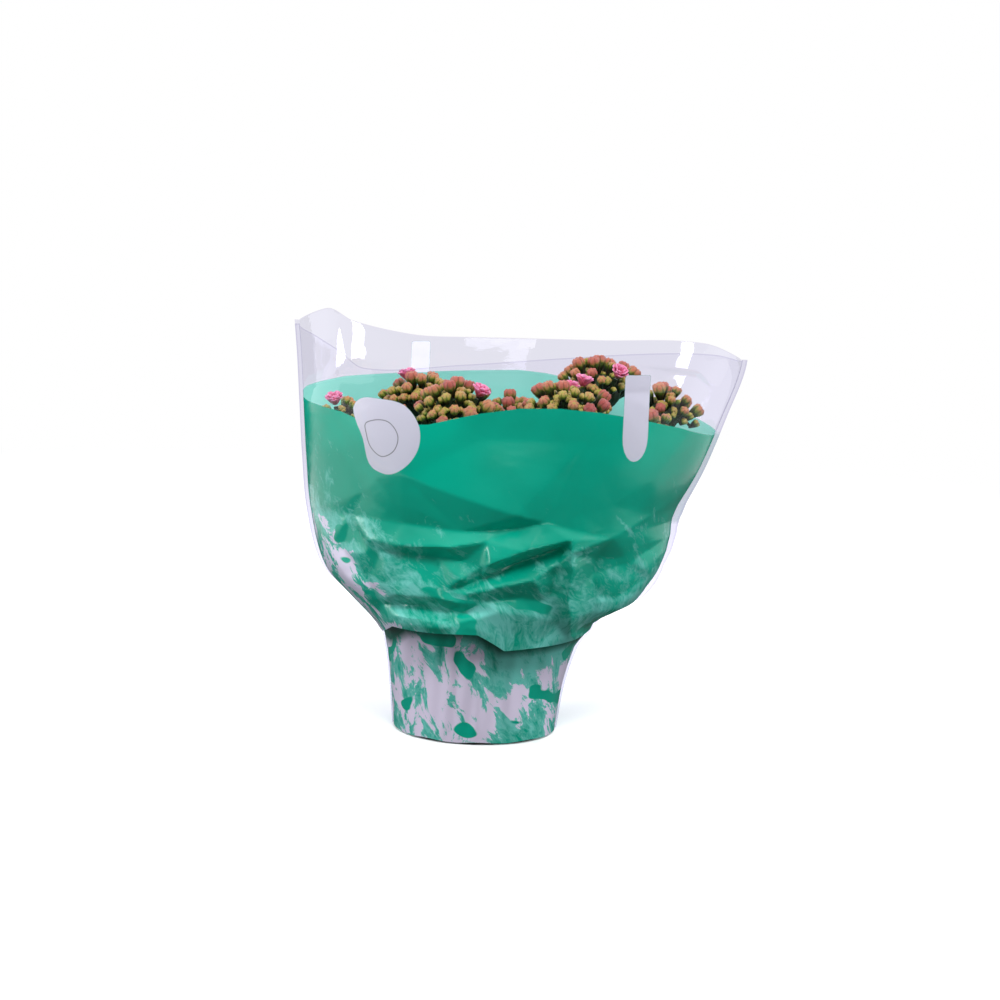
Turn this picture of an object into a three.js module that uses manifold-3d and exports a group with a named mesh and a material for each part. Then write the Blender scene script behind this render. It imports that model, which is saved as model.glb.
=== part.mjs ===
// A kalanchoe in bud, growing in a round nursery pot that stands in an open-ended film sleeve.
// Millimetres, +Z up, origin at the centre of the pot's flat base.
import * as THREE from "three";
import { mergeVertices } from "three/addons/utils/BufferGeometryUtils.js";
import Module from "manifold-3d";

const wasm = await Module();
wasm.setup();

// Driving dimensions
const GAP = 0.3; // between pieces that only rest against each other
const POT = { base: 44, rim: 55, height: 104, wall: 1.3, collar: 58, collarHeight: 13, sides: 26 };
const DRAIN = { count: 6, radius: 4, circle: 29 };
const SOIL = { top: 94, bumps: 1.3 };
const CROWN = 53; // height, inside the soil, of the point that every stem fans out from
const SPREAD_AT = 170; // height at which the stems stand at the plan positions of their heads
const STEM = { foot: 80, lowRadius: 2.7, topRadius: 1.9, sides: 6 };
const FILM = 0.6; // thickness, much more than the real film's, so that the sleeve is a solid
const WELD_GAP = 0.4; // between the two panels along the welded edges

// Each flowering stem: where its head stands in plan, the top of its dome and the dome's radius
const HEADS = [
  { x: -37, y: 28, top: 199, r: 26 },
  { x: -15, y: -31, top: 200, r: 28 },
  { x: 63, y: 26, top: 211, r: 27 },
  { x: 45, y: -31, top: 204, r: 28 },
  { x: 98, y: 2, top: 199, r: 19 },
  { x: -79, y: -5, top: 188, r: 16 },
  { x: 15, y: 45, top: 185, r: 24 },
  { x: 91, y: -38, top: 189, r: 17 },
  { x: -56, y: -37, top: 186, r: 18 },
];
const HEAD = { depth: 46, dome: 0.62, splay: 1.05, budArea: 66 };
const BUD = { width: 7.8, length: 9, small: 0.62, least: 0.5, sides: 5, smallSides: 4 };
// Which bud of which head has opened
const OPEN = [
  { head: 0, bud: 3 },
  { head: 1, bud: 7 },
  { head: 2, bud: 12 },
  { head: 3, bud: 2 },
  { head: 3, bud: 13 },
  { head: 5, bud: 1 },
  { head: 8, bud: 2 },
];
const FLOWER = { petals: 5, length: 8, width: 5, stalk: 3, room: 8.5 };
const LEAF = { length: 56, width: 34, thick: 1.1, rows: 6, pairs: 3, lowest: 104, step: 12, fromFilm: 6, apart: 4.5 };

// The sleeve's outline at a few heights: left and right edge, front and back depth, weld widths
const STATIONS = [
  { z: 0, left: -45.7, right: 45.7, front: -44.6, back: 44.6, weldL: 0.8, weldR: 0.8 },
  { z: 25, left: -48.3, right: 49.5, front: -47.6, back: 47.6, weldL: 1, weldR: 1.4 },
  { z: 45, left: -51.2, right: 55.5, front: -50.6, back: 50.6, weldL: 1.2, weldR: 2 },
  { z: 58, left: -56, right: 62.5, front: -54, back: 54, weldL: 1.6, weldR: 3 },
  { z: 75, left: -74, right: 88, front: -63, back: 62, weldL: 2.2, weldR: 5 },
  { z: 90, left: -88, right: 99, front: -68, back: 67, weldL: 2.5, weldR: 6 },
  { z: 120, left: -96.5, right: 108.5, front: -72, back: 72, weldL: 2.6, weldR: 5 },
  { z: 150, left: -99.8, right: 122.5, front: -76, back: 76, weldL: 2.6, weldR: 3.5 },
  { z: 180, left: -102, right: 133.5, front: -79, back: 79, weldL: 2.6, weldR: 3 },
  { z: 205, left: -103.8, right: 142, front: -81, back: 81, weldL: 2.6, weldR: 3 },
  { z: 228, left: -106, right: 144, front: -83, back: 83, weldL: 2.6, weldR: 3 },
];
// The height of each panel's top edge, and of the pleat that the loose film makes above the pot
const RIM = {
  front: [[-106, 222.5], [-92, 219.5], [-80, 214], [-65, 205], [-13, 210.5], [39, 216], [88, 219], [122, 217], [144, 209]],
  back: [[-106, 222.5], [-94, 226.5], [-87, 227], [-76, 219.5], [-45, 211.5], [-20, 210], [64, 211], [122, 214.5], [144, 209]],
};
const PLEAT = {
  front: [[-60, 62], [-38, 66], [2, 67], [14, 57], [52, 60.5], [66, 62]],
  back: [[-60, 62], [-30, 58], [6, 64], [30, 69], [52, 60], [66, 62]],
};
const HEM = 0.6;
const LIP = { out: 5.5, fade: 15, droop: 2.5 };
const PLEAT_AT = 0.27; // how far up the panel's rows the pleat lies
// Folds pressed into the panels: from (x, z) to (x, z), height (outward is positive) and half width
const FOLDS = {
  front: [
    { from: [-16, 88], to: [46, 110], height: 5, reach: 15 },
    { from: [-12, 104], to: [48, 122], height: -4.5, reach: 15 },
    { from: [50, 110], to: [50, 62], height: 5.5, reach: 13 },
    { from: [50, 111], to: [100, 115], height: 5, reach: 12 },
    { from: [-58, 99], to: [-5, 107], height: -4, reach: 11 },
    { from: [-69, 124], to: [-41, 134], height: 4, reach: 14 },
    { from: [-42, 149], to: [22, 134], height: 3.5, reach: 16 },
    { from: [48, 124], to: [93, 152], height: -4, reach: 14 },
    { from: [93, 152], to: [110, 178], height: 3.5, reach: 12 },
    { from: [-61, 147], to: [-69, 122], height: -4, reach: 12 },
    { from: [-36, 76], to: [-8, 75], height: 3.5, reach: 8 },
  ],
  back: [
    { from: [-50, 92], to: [0, 108], height: 5, reach: 15 },
    { from: [20, 110], to: [66, 96], height: -4.5, reach: 14 },
    { from: [-46, 128], to: [10, 142], height: 3.5, reach: 16 },
    { from: [40, 150], to: [90, 132], height: -4, reach: 15 },
    { from: [66, 96], to: [60, 66], height: 5, reach: 12 },
    { from: [-64, 120], to: [-58, 160], height: -3.5, reach: 13 },
  ],
};
const GRID = { columns: 20, below: 3, above: 8 };

const GOLDEN = Math.PI * (3 - Math.sqrt(5));
const mix = (a, b, t) => a + (b - a) * t;
const clamp = (v, lo, hi) => Math.min(hi, Math.max(lo, v));
const rad = THREE.MathUtils.degToRad;

// One seeded stream of numbers from 0 to 1
function stream(seed) {
  let state = seed;
  return () => {
    state = (state * 1664525 + 1013904223) % 4294967296;
    return state / 4294967296;
  };
}

// A smooth curve through [position, value] points, flat beyond the ends
function through(points, at) {
  const last = points.length - 1;
  const i = clamp(points.findIndex((p) => p[0] > at) - 1, 0, last - 1);
  const near = at >= points[last][0] ? last - 1 : i;
  const t = clamp((at - points[near][0]) / (points[near + 1][0] - points[near][0]), 0, 1);
  const slope = (k) => {
    const a = points[Math.max(k - 1, 0)];
    const b = points[Math.min(k + 1, last)];
    return (b[1] - a[1]) / (b[0] - a[0]);
  };
  const width = points[near + 1][0] - points[near][0];
  const h = t * t * (3 - 2 * t);
  const lean = slope(near) * t * (1 - t) * (1 - t) - slope(near + 1) * t * t * (1 - t);
  return mix(points[near][1], points[near + 1][1], h) + width * lean;
}

// Straight lines through [position, value] points
function along(points, at) {
  const last = points.length - 1;
  for (let k = 0; k < last; k++) {
    if (at <= points[k + 1][0] || k === last - 1) {
      const t = clamp((at - points[k][0]) / (points[k + 1][0] - points[k][0]), 0, 1);
      return mix(points[k][1], points[k + 1][1], t);
    }
  }
}

// A closed three.js geometry as a solid, with its seams merged and its flat triangles dropped
function solid(geometry) {
  const bare = new THREE.BufferGeometry().setAttribute("position", geometry.getAttribute("position"));
  if (geometry.index) bare.setIndex(geometry.index);
  const merged = mergeVertices(bare, 1e-4);
  const index = merged.index.array;
  const kept = [];
  for (let i = 0; i < index.length; i += 3) {
    const [a, b, c] = [index[i], index[i + 1], index[i + 2]];
    if (a !== b && b !== c && a !== c) kept.push(a, b, c);
  }
  const closed = (triVerts) =>
    new wasm.Manifold(
      new wasm.Mesh({ numProp: 3, vertProperties: merged.attributes.position.array, triVerts }),
    );
  const made = closed(new Uint32Array(kept));
  return made.volume() < 0 ? closed(new Uint32Array(kept).reverse()) : made;
}

// A thin closed sheet: place(u, v, side) gives the point at u across, v along, on side 0 or 1.
// Both faces are split into triangles alike, so that they can't cross where the sheet waves
function slab(columns, rows, place) {
  const points = [];
  for (const side of [0, 1]) {
    for (let j = 0; j <= rows; j++) {
      for (let i = 0; i <= columns; i++) points.push(place(i / columns, j / rows, side));
    }
  }
  const at = (i, j, side) => (side * (rows + 1) + j) * (columns + 1) + i;
  const index = [];
  const quad = (a, b, c, d) => index.push(a, b, c, a, c, d);
  for (let j = 0; j < rows; j++) {
    for (let i = 0; i < columns; i++) {
      quad(at(i, j, 1), at(i + 1, j, 1), at(i + 1, j + 1, 1), at(i, j + 1, 1));
      index.push(at(i, j, 0), at(i + 1, j + 1, 0), at(i + 1, j, 0));
      index.push(at(i, j, 0), at(i, j + 1, 0), at(i + 1, j + 1, 0));
    }
    quad(at(columns, j, 0), at(columns, j + 1, 0), at(columns, j + 1, 1), at(columns, j, 1));
    quad(at(0, j, 0), at(0, j, 1), at(0, j + 1, 1), at(0, j + 1, 0));
  }
  for (let i = 0; i < columns; i++) {
    quad(at(i, 0, 0), at(i + 1, 0, 0), at(i + 1, 0, 1), at(i, 0, 1));
    quad(at(i, rows, 0), at(i, rows, 1), at(i + 1, rows, 1), at(i + 1, rows, 0));
  }
  return new THREE.BufferGeometry().setFromPoints(points).setIndex(index);
}

// A solid back as a geometry
function geometryOf(made) {
  const mesh = made.getMesh();
  const geometry = new THREE.BufferGeometry();
  geometry.setAttribute("position", new THREE.BufferAttribute(new Float32Array(mesh.vertProperties), 3));
  geometry.setIndex(new THREE.BufferAttribute(new Uint32Array(mesh.triVerts), 1));
  geometry.computeVertexNormals();
  return geometry;
}

// Moves every vertex of a geometry by a rule
function shaped(geometry, rule) {
  const position = geometry.getAttribute("position");
  const p = new THREE.Vector3();
  for (let i = 0; i < position.count; i++) {
    p.fromBufferAttribute(position, i);
    const q = rule(p);
    position.setXYZ(i, q.x, q.y, q.z);
  }
  return geometry;
}

// A lathe about +Z from [radius, z] points
function turned(profile, segments) {
  const points = profile.map(([r, z]) => new THREE.Vector2(r, z));
  return new THREE.LatheGeometry(points, segments).rotateX(Math.PI / 2);
}

const group = new THREE.Group();
function addPiece(name, made, material) {
  const mesh = new THREE.Mesh(geometryOf(made), material);
  mesh.name = name;
  group.add(mesh);
}

const material = (color, roughness) => new THREE.MeshStandardMaterial({ color, roughness, metalness: 0 });
const potPlastic = material("#3a3330", 0.55);
const peat = material("#2e2119", 0.95);
const leafGreen = material("#3f6b2c", 0.45);
const budSalmon = material("#b5805a", 0.5);
const petalPink = material("#e0668c", 0.5);
const printedFilm = material("#12a07f", 0.25);

// The pot: a tapered cup with a turned-out collar and drain holes
function potSolid() {
  const { base, rim, height, wall, collar, collarHeight } = POT;
  const shoulder = height - collarHeight;
  const cup = turned(
    [
      [0, 0], [base - 1, 0], [base, 1], [rim - 1, shoulder], [collar, shoulder + 1.5], [collar, height],
      [collar - wall, height], [collar - wall, shoulder + 3], [rim - 1 - wall, shoulder + 1], [base - wall, 1.6],
      [0, 1.6],
    ],
    POT.sides,
  );
  let made = solid(cup);
  for (let i = 0; i < DRAIN.count; i++) {
    const angle = (i / DRAIN.count) * Math.PI * 2;
    const drill = new THREE.CylinderGeometry(DRAIN.radius, DRAIN.radius, 8, 8).rotateX(Math.PI / 2);
    drill.translate(DRAIN.circle * Math.cos(angle), DRAIN.circle * Math.sin(angle), 0);
    made = made.subtract(solid(drill));
  }
  return made;
}

// How far apart the stems stand at a height, as a share of the heads' plan positions
const fan = (z) => (z - CROWN) / (SPREAD_AT - CROWN);
const stemAt = (head, z) => new THREE.Vector3(head.x * fan(z), head.y * fan(z), z);
const headBase = (head) => head.top - HEAD.depth * (0.55 + 0.45 * (head.r / 28));

// A straight round bar between two points
function bar(from, to, lowRadius, topRadius, sides) {
  const length = from.distanceTo(to);
  const made = new THREE.CylinderGeometry(topRadius, lowRadius, length, sides);
  made.rotateX(Math.PI / 2).translate(0, 0, length / 2);
  const turn = new THREE.Quaternion().setFromUnitVectors(
    new THREE.Vector3(0, 0, 1),
    to.clone().sub(from).normalize(),
  );
  return made.applyQuaternion(turn).translate(from.x, from.y, from.z);
}

// The soil: a bumpy plug that fills the pot, with a plain hole for each stem
function soilSolid() {
  const low = 1.6 + GAP;
  const shoulder = POT.height - POT.collarHeight;
  const inner = (z) => mix(POT.base, POT.rim - 1, (z - 1.6) / (shoulder - 0.6)) - POT.wall - 1.2 * GAP;
  const top = SOIL.top;
  const plug = turned(
    [
      [0, low], [inner(low) - 0.6, low], [inner(shoulder), shoulder - 1], [inner(shoulder), top - 1.5],
      [26, top], [0, top],
    ],
    POT.sides,
  );
  shaped(plug, (p) => {
    const rise = p.z > top - 1 ? SOIL.bumps * Math.sin(p.x * 0.31 + 1) * Math.cos(p.y * 0.37) : 0;
    return new THREE.Vector3(p.x, p.y, p.z + rise);
  });
  let made = solid(plug);
  for (const head of HEADS) {
    const room = STEM.lowRadius + GAP + 0.25;
    made = made.subtract(solid(bar(stemAt(head, STEM.foot - GAP), stemAt(head, SOIL.top + 6), room, room, 6)));
  }
  return made;
}

// How far inside its own stem's territory a point lies. Territories meet in planes through the crown
function territory(k, x, y, z) {
  const g = fan(z);
  let least = Infinity;
  const own = HEADS[k];
  for (const [m, other] of HEADS.entries()) {
    if (m === k) continue;
    const apart = Math.hypot(other.x - own.x, other.y - own.y);
    const toOther = (x / g - other.x) ** 2 + (y / g - other.y) ** 2 - other.r ** 2;
    const toOwn = (x / g - own.x) ** 2 + (y / g - own.y) ** 2 - own.r ** 2;
    least = Math.min(least, ((toOther - toOwn) / (2 * apart)) * g);
  }
  return least;
}

// The sleeve's cross-section at a height
function section(z) {
  const value = (key) => through(STATIONS.map((s) => [s.z, s[key]]), z);
  const left = value("left") + value("weldL");
  const right = value("right") - value("weldR");
  return { left, right, front: value("front"), back: value("back"), weldL: value("weldL"), weldR: value("weldR") };
}

// How far inside the sleeve a point lies, measured across it
function insideSleeve(x, y, z) {
  const s = section(z);
  const half = (s.right - s.left) / 2;
  const depth = y < 0 ? -s.front : s.back;
  const out = Math.hypot((x - (s.left + s.right) / 2) / half, y / depth);
  return (1 - out) * Math.min(half, depth);
}

// A leaf's half width along its length, from stalk to tip, with rounded teeth
const LEAF_OUTLINE = [0.14, 0.55, 0.95, 0.82, 1, 0.74, 0.4];

// The point of a leaf that lies t along it and s across it, before its thickness
function leafPoint(leaf, s, t) {
  const rise = rad(mix(leaf.lift, leaf.lift + 34, t * 0.6));
  const reach = leaf.length * t * Math.cos(rise) * leaf.reach;
  const climb = leaf.length * t * Math.sin(rise) * (1 + 0.35 * (1 - leaf.reach));
  const half = (leaf.width / 2) * leaf.slim * leaf.outline(t);
  const cup = 0.16 * Math.abs(s) * half;
  const side = new THREE.Vector3(-Math.sin(leaf.turn), Math.cos(leaf.turn), 0);
  const outward = new THREE.Vector3(Math.cos(leaf.turn), Math.sin(leaf.turn), 0);
  return leaf.foot
    .clone()
    .addScaledVector(outward, reach - cup * Math.sin(rise))
    .addScaledVector(side, s * half)
    .add(new THREE.Vector3(0, 0, climb + cup * Math.cos(rise)));
}

const leafOutline = (t) => {
  const at = t * LEAF.rows;
  const low = Math.min(Math.floor(at + 1e-6), LEAF.rows - 1);
  return mix(LEAF_OUTLINE[low], LEAF_OUTLINE[low + 1], at - low);
};

// A grid of points on a leaf's blade
function samples(leaf) {
  const points = [];
  for (let i = 3; i <= 10; i++) {
    for (const s of [-1, -0.5, 0, 0.5, 1]) points.push(leafPoint(leaf, s, i / 10));
  }
  return points;
}

// True if the leaf stays clear of its neighbours, the sleeve and the underside of its own head
function leafFits(k, leaf, others) {
  const head = HEADS[k];
  const base = headBase(head);
  const points = samples(leaf);
  for (const p of points) {
    if (territory(k, p.x, p.y, p.z) < LEAF.thick) return false;
    if (insideSleeve(p.x, p.y, p.z) < LEAF.fromFilm) return false;
    const stem = stemAt(head, p.z);
    const off = Math.hypot(p.x - stem.x, p.y - stem.y);
    const under = base - 5 + off * 1.1;
    if (p.z > under - 2 && off < head.r + 9) return false;
    if (p.z > head.top - 16) return false;
  }
  const near = (other) => points.some((p) => other.points.some((q) => p.distanceToSquared(q) < LEAF.apart ** 2));
  return !others.some(near);
}

// The leaves of one stem: crossed pairs up the stem, each of the size, lift and turn that fits best
function leavesOf(k) {
  const head = HEADS[k];
  const draw = stream(17 + k * 101);
  const leaves = [];
  const start = Math.atan2(head.y, head.x) + (draw() - 0.5) * 0.6;
  for (let pair = 0; pair < LEAF.pairs; pair++) {
    for (const side of [0, 1]) {
      const foot = stemAt(head, LEAF.lowest + pair * LEAF.step + side * 3);
      const turn = start + pair * (Math.PI / 2) + side * Math.PI;
      const grown = 1 - 0.1 * pair + (draw() - 0.5) * 0.12;
      const leaf = { foot, outline: leafOutline, width: LEAF.width * grown };
      let best = null;
      for (const size of [1, 0.9, 0.8, 0.7, 0.6, 0.5, 0.4]) {
        for (const slim of [1, 0.85, 0.7, 0.55]) {
          if (best && size * slim * 1.1 < best.score) continue;
          for (const lift of [2, 14, 26, 38, 50, 62]) {
            for (const off of [0, -0.25, 0.25, -0.5, 0.5, -0.75, 0.75]) {
              const reach = 1;
              Object.assign(leaf, { slim: slim * size ** 0.2, length: LEAF.length * grown * size, lift, reach });
              leaf.turn = turn + off;
              const score = size * slim * (0.45 + 0.65 * Math.cos(rad(lift))) - 0.02 * Math.abs(off);
              if ((!best || score > best.score) && leafFits(k, leaf, leaves)) best = { ...leaf, score };
            }
          }
        }
      }
      if (best) leaves.push({ ...best, points: samples(best) });
    }
  }
  return leaves;
}

function leafSolid(leaf) {
  return solid(
    slab(2, LEAF.rows, (u, t, side) => {
      const s = u * 2 - 1;
      const at = leafPoint(leaf, s, t);
      const ahead = leafPoint(leaf, s, t + 0.01).sub(at);
      const across = leafPoint(leaf, s + 0.01, t).sub(at);
      const up = new THREE.Vector3().crossVectors(across, ahead).normalize();
      const thick = LEAF.thick * (s === 0 ? 1 : 0.7) * (t > 0.95 ? 0.8 : 1);
      return at.addScaledVector(up, (side - 0.5) * thick);
    }),
  );
}

function leafyStem(k) {
  const head = HEADS[k];
  const foot = stemAt(head, STEM.foot);
  const tip = stemAt(head, headBase(head) + 4);
  const cut = headBase(head) - GAP;
  let made = solid(bar(foot, tip, STEM.lowRadius, STEM.topRadius, STEM.sides)).trimByPlane([0, 0, -1], -cut);
  for (const leaf of leavesOf(k)) made = made.add(leafSolid(leaf));
  return made;
}

// Where the buds of a head stand: a sunflower spiral over its dome, each pointing outwards
function budsOf(k) {
  const head = HEADS[k];
  const count = Math.round((Math.PI * head.r ** 2) / HEAD.budArea);
  const draw = stream(7 + k * 31);
  const start = draw() * Math.PI * 2;
  const buds = [];
  for (let i = 0; i < count; i++) {
    const share = Math.sqrt((i + 0.5) / count);
    const turn = start + i * GOLDEN;
    const size = i % 5 < 2 ? mix(0.95, 1.08, draw()) : mix(BUD.small, 0.85, draw());
    const lift = (draw() - 0.5) * 3.2;
    const r = (head.r - 3) * share;
    const place = new THREE.Vector3(
      head.x + r * Math.cos(turn),
      head.y + r * Math.sin(turn),
      domeAt(head, share) + lift,
    );
    const lean = HEAD.splay * share;
    const aim = new THREE.Vector3(
      Math.sin(lean) * Math.cos(turn),
      Math.sin(lean) * Math.sin(turn),
      Math.cos(lean),
    );
    const tip = place.clone().addScaledVector(aim, BUD.length * size);
    const middle = new THREE.Vector3(head.x, head.y, place.z);
    const root = place.clone().lerp(middle, 0.45).add(new THREE.Vector3(0, 0, mix(-6.5, -3.8, share)));
    buds.push({ place, aim, size, share, index: i, tip, root });
  }
  // Where two stand close, the smaller shrinks until they only touch
  const waist = (bud) => bud.place.clone().addScaledVector(bud.aim, 0.3 * BUD.length * bud.size);
  for (const [i, bud] of buds.entries()) {
    for (const other of buds.slice(0, i)) {
      const room = waist(bud).distanceTo(waist(other)) / BUD.width;
      const excess = (bud.size + other.size) * 0.5 - room;
      const smaller = bud.size < other.size ? bud : other;
      if (excess > 0) smaller.size = Math.max(smaller.size - 2 * excess, BUD.least);
    }
  }
  return buds;
}

// A bud keeps clear of the neighbouring heads and the film
function budHasRoom(k, bud) {
  const room = (BUD.width / 2) * bud.size + 0.5;
  const head = HEADS[k];
  if (bud.share > 0.98) return false;
  for (const p of [bud.place, bud.tip]) {
    for (const [m, other] of HEADS.entries()) {
      if (m === k) continue;
      const apart = Math.hypot(other.x - head.x, other.y - head.y);
      const toOther = (p.x - other.x) ** 2 + (p.y - other.y) ** 2 - other.r ** 2;
      const toOwn = (p.x - head.x) ** 2 + (p.y - head.y) ** 2 - head.r ** 2;
      if ((toOther - toOwn) / (2 * apart) < room) return false;
    }
    if (insideSleeve(p.x, p.y, p.z) < room + 2.5) return false;
  }
  return true;
}

function pointed(geometry, aim, place) {
  const turn = new THREE.Quaternion().setFromUnitVectors(new THREE.Vector3(0, 0, 1), aim);
  return geometry.applyQuaternion(turn).translate(place.x, place.y, place.z);
}

function budSolid(bud) {
  const w = BUD.width * bud.size;
  const l = BUD.length * bud.size;
  const sides = bud.size < 0.8 ? BUD.smallSides : BUD.sides;
  const barrel = turned([[0, -0.6 * l], [0.52 * w, 0.3 * l], [0.44 * w, 0.76 * l], [0, l]], sides);
  barrel.rotateZ(bud.index * 1.3);
  pointed(barrel, bud.aim, bud.place);
  // Its foot is drawn in and down to the bunched stalks
  const heel = bud.place.clone().addScaledVector(bud.aim, -0.6 * l);
  return solid(shaped(barrel, (p) => (p.distanceTo(heel) < 0.01 ? bud.root : p)));
}

const isOpen = (k, bud) => OPEN.some((o) => o.head === k && o.bud === bud.index);

// The height at which the buds of a head stand, by their share of the way from its middle to its edge
const domeAt = (head, share) => head.top - BUD.length - 1 - HEAD.dome * head.r * share ** 2;

// The middle of a head: a stalk that widens into a ribbed, domed cushion, which holds the buds
function coreSolid(head) {
  const base = headBase(head);
  const wide = head.r * (head.r < 20 ? 0.6 : 0.72);
  const crown = (share) => domeAt(head, share) - 2.5;
  const brim = crown(wide / (head.r - 3));
  const core = turned(
    [
      [0, base], [STEM.topRadius, base], [wide * 0.5, mix(base, brim, 0.45)], [wide, brim - 3],
      [wide * 0.92, brim], [wide * 0.5, crown(0.42)], [0, crown(0)],
    ],
    12,
  );
  const foot = stemAt(head, base);
  const lean = (z) => clamp((z - base) / (brim - base), 0, 1);
  shaped(core, (p) => {
    const under = lean(p.z);
    const ridge = 1 + (under > 0.1 && under < 0.99 ? 0.2 : 0) * Math.cos(6 * Math.atan2(p.y, p.x));
    return new THREE.Vector3(
      p.x * ridge + mix(foot.x, head.x, under),
      p.y * ridge + mix(foot.y, head.y, under),
      p.z,
    );
  });
  return solid(core);
}

function flowerHead(k) {
  const head = HEADS[k];
  let made = coreSolid(head);
  const buds = budsOf(k);
  const opened = buds.filter((bud) => isOpen(k, bud));
  for (const bud of buds) {
    if (!budHasRoom(k, bud)) continue;
    if (opened.some((o) => o !== bud && o.place.distanceTo(bud.place) < FLOWER.room)) continue;
    if (isOpen(k, bud)) {
      const stalk = bud.place.clone().addScaledVector(bud.aim, -6);
      const end = bud.place.clone().addScaledVector(bud.aim, FLOWER.stalk);
      made = made.add(solid(bar(stalk, end, 1.4, 1.1, 5)));
    } else {
      made = made.add(budSolid(bud));
    }
  }
  return made;
}

// An open flower: petals in a spread whorl round a closed heart, standing on its stalk
function openFlower(bud) {
  const foot = bud.place.clone().addScaledVector(bud.aim, FLOWER.stalk + GAP);
  const heart = turned([[0, 0], [1.6, 0], [3.1, 3.6], [2.2, 6.6], [0, 7.2]], FLOWER.petals);
  let made = solid(heart);
  for (let i = 0; i < FLOWER.petals; i++) {
    const petal = slab(1, 2, (u, t, side) => {
      const half = (FLOWER.width / 2) * Math.sin(Math.PI * (0.12 + 0.72 * t));
      const out = 1.2 + FLOWER.length * 0.78 * t;
      const up = 1.6 + FLOWER.length * 0.6 * Math.sin(t * 1.5);
      return new THREE.Vector3(out + (side - 0.5) * 0.45, (u * 2 - 1) * half, up - (side - 0.5) * 0.75);
    });
    petal.rotateZ(((i + 0.5) / FLOWER.petals) * Math.PI * 2);
    made = made.add(solid(petal));
  }
  const turn = new THREE.Quaternion().setFromUnitVectors(new THREE.Vector3(0, 0, 1), bud.aim);
  const place = new THREE.Matrix4().compose(foot, turn, new THREE.Vector3(1, 1, 1));
  return made.transform(place.elements);
}

// How far a fold pushes the film at (x, z)
function foldAt(panel, x, z) {
  let total = 0;
  for (const fold of FOLDS[panel]) {
    const [x0, z0] = fold.from;
    const [dx, dz] = [fold.to[0] - x0, fold.to[1] - z0];
    const t = clamp(((x - x0) * dx + (z - z0) * dz) / (dx * dx + dz * dz), 0, 1);
    const off = Math.hypot(x - x0 - t * dx, z - z0 - t * dz);
    total += fold.height * Math.max(0, 1 - off / fold.reach) ** 1.4;
  }
  return total;
}

// The middle of a panel's film: angle from the left weld (0) to the right weld (pi), row from 0 to 1
function filmMiddle(panel, angle, row) {
  const way = panel === "front" ? -1 : 1;
  const cos = Math.cos(angle);
  const sin = Math.sin(angle);
  const guess = section(PLEAT_AT * 200);
  const xAt = (s) => (s.left + s.right) / 2 - ((s.right - s.left) / 2) * cos;
  const pleat = along(PLEAT[panel], xAt(guess));
  const above = row > PLEAT_AT;
  const up = above ? (row - PLEAT_AT) / (1 - PLEAT_AT) : row / PLEAT_AT;
  const topSection = section(214);
  const rim = through(RIM[panel], xAt(topSection));
  const z = above ? mix(pleat, rim, up) : mix(HEM, pleat, up);
  const s = section(z);
  const depth = way < 0 ? -s.front : s.back;
  const lip = above ? Math.exp(-(z - pleat) / LIP.fade) * sin : 0;
  const out = sin * depth + foldAt(panel, xAt(s), z) * sin ** 0.7 + lip * LIP.out;
  const side = (lip * LIP.out * -cos) * 0.5;
  return new THREE.Vector3(xAt(s) + side, way * (WELD_GAP / 2 + FILM / 2 + out), z - lip * LIP.droop);
}

// The same with the welded edge strips beyond both ends: column from -1 (left edge) past 0 to 1 and 2
function filmPoint(panel, column, row) {
  if (column >= 0 && column <= 1) return filmMiddle(panel, column * Math.PI, row);
  const end = filmMiddle(panel, column < 0 ? 0 : Math.PI, row);
  const s = section(end.z);
  const share = column < 0 ? column * s.weldL : (column - 1) * s.weldR;
  return end.add(new THREE.Vector3(share, 0, 0));
}

function sleevePanel(panel) {
  const { columns, below, above } = GRID;
  const rows = [];
  for (let j = 0; j < below; j++) rows.push((PLEAT_AT * j) / below);
  rows.push(PLEAT_AT - 0.012, PLEAT_AT + 0.004);
  for (let j = 1; j <= above; j++) rows.push(mix(PLEAT_AT + 0.004, 1, j / above));
  const step = 0.004;
  const sheet = slab(columns + 2, rows.length - 1, (u, v, side) => {
    const i = Math.round(u * (columns + 2));
    const row = rows[Math.round(v * (rows.length - 1))];
    const column = i === 0 ? -1 : i === columns + 2 ? 2 : (i - 1) / columns;
    const at = filmPoint(panel, column, row);
    let normal = new THREE.Vector3(0, panel === "front" ? -1 : 1, 0);
    if (column > 0 && column < 1) {
      const across = filmPoint(panel, Math.min(column + step, 1), row).sub(
        filmPoint(panel, Math.max(column - step, 0), row),
      );
      const lower = Math.max(row - step, row > PLEAT_AT ? PLEAT_AT + 1e-6 : 0);
      const higher = Math.min(row + step, row > PLEAT_AT ? 1 : PLEAT_AT);
      const upward = filmPoint(panel, column, higher).sub(filmPoint(panel, column, lower));
      normal = new THREE.Vector3().crossVectors(across, upward).normalize();
      if (panel === "back") normal.negate();
    }
    return at.addScaledVector(normal, (side - 0.5) * FILM);
  });
  return solid(sheet);
}

addPiece("pot", potSolid(), potPlastic);
addPiece("soil", soilSolid(), peat);
HEADS.forEach((head, k) => {
  addPiece(`leafy_stem_${k + 1}`, leafyStem(k), leafGreen);
  addPiece(`flower_head_${k + 1}`, flowerHead(k), budSalmon);
});
OPEN.forEach(({ head, bud }, n) => {
  addPiece(`open_flower_${n + 1}`, openFlower(budsOf(head)[bud]), petalPink);
});
addPiece("sleeve_front", sleevePanel("front"), printedFilm);
addPiece("sleeve_back", sleevePanel("back"), printedFilm);

export default group;
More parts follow.
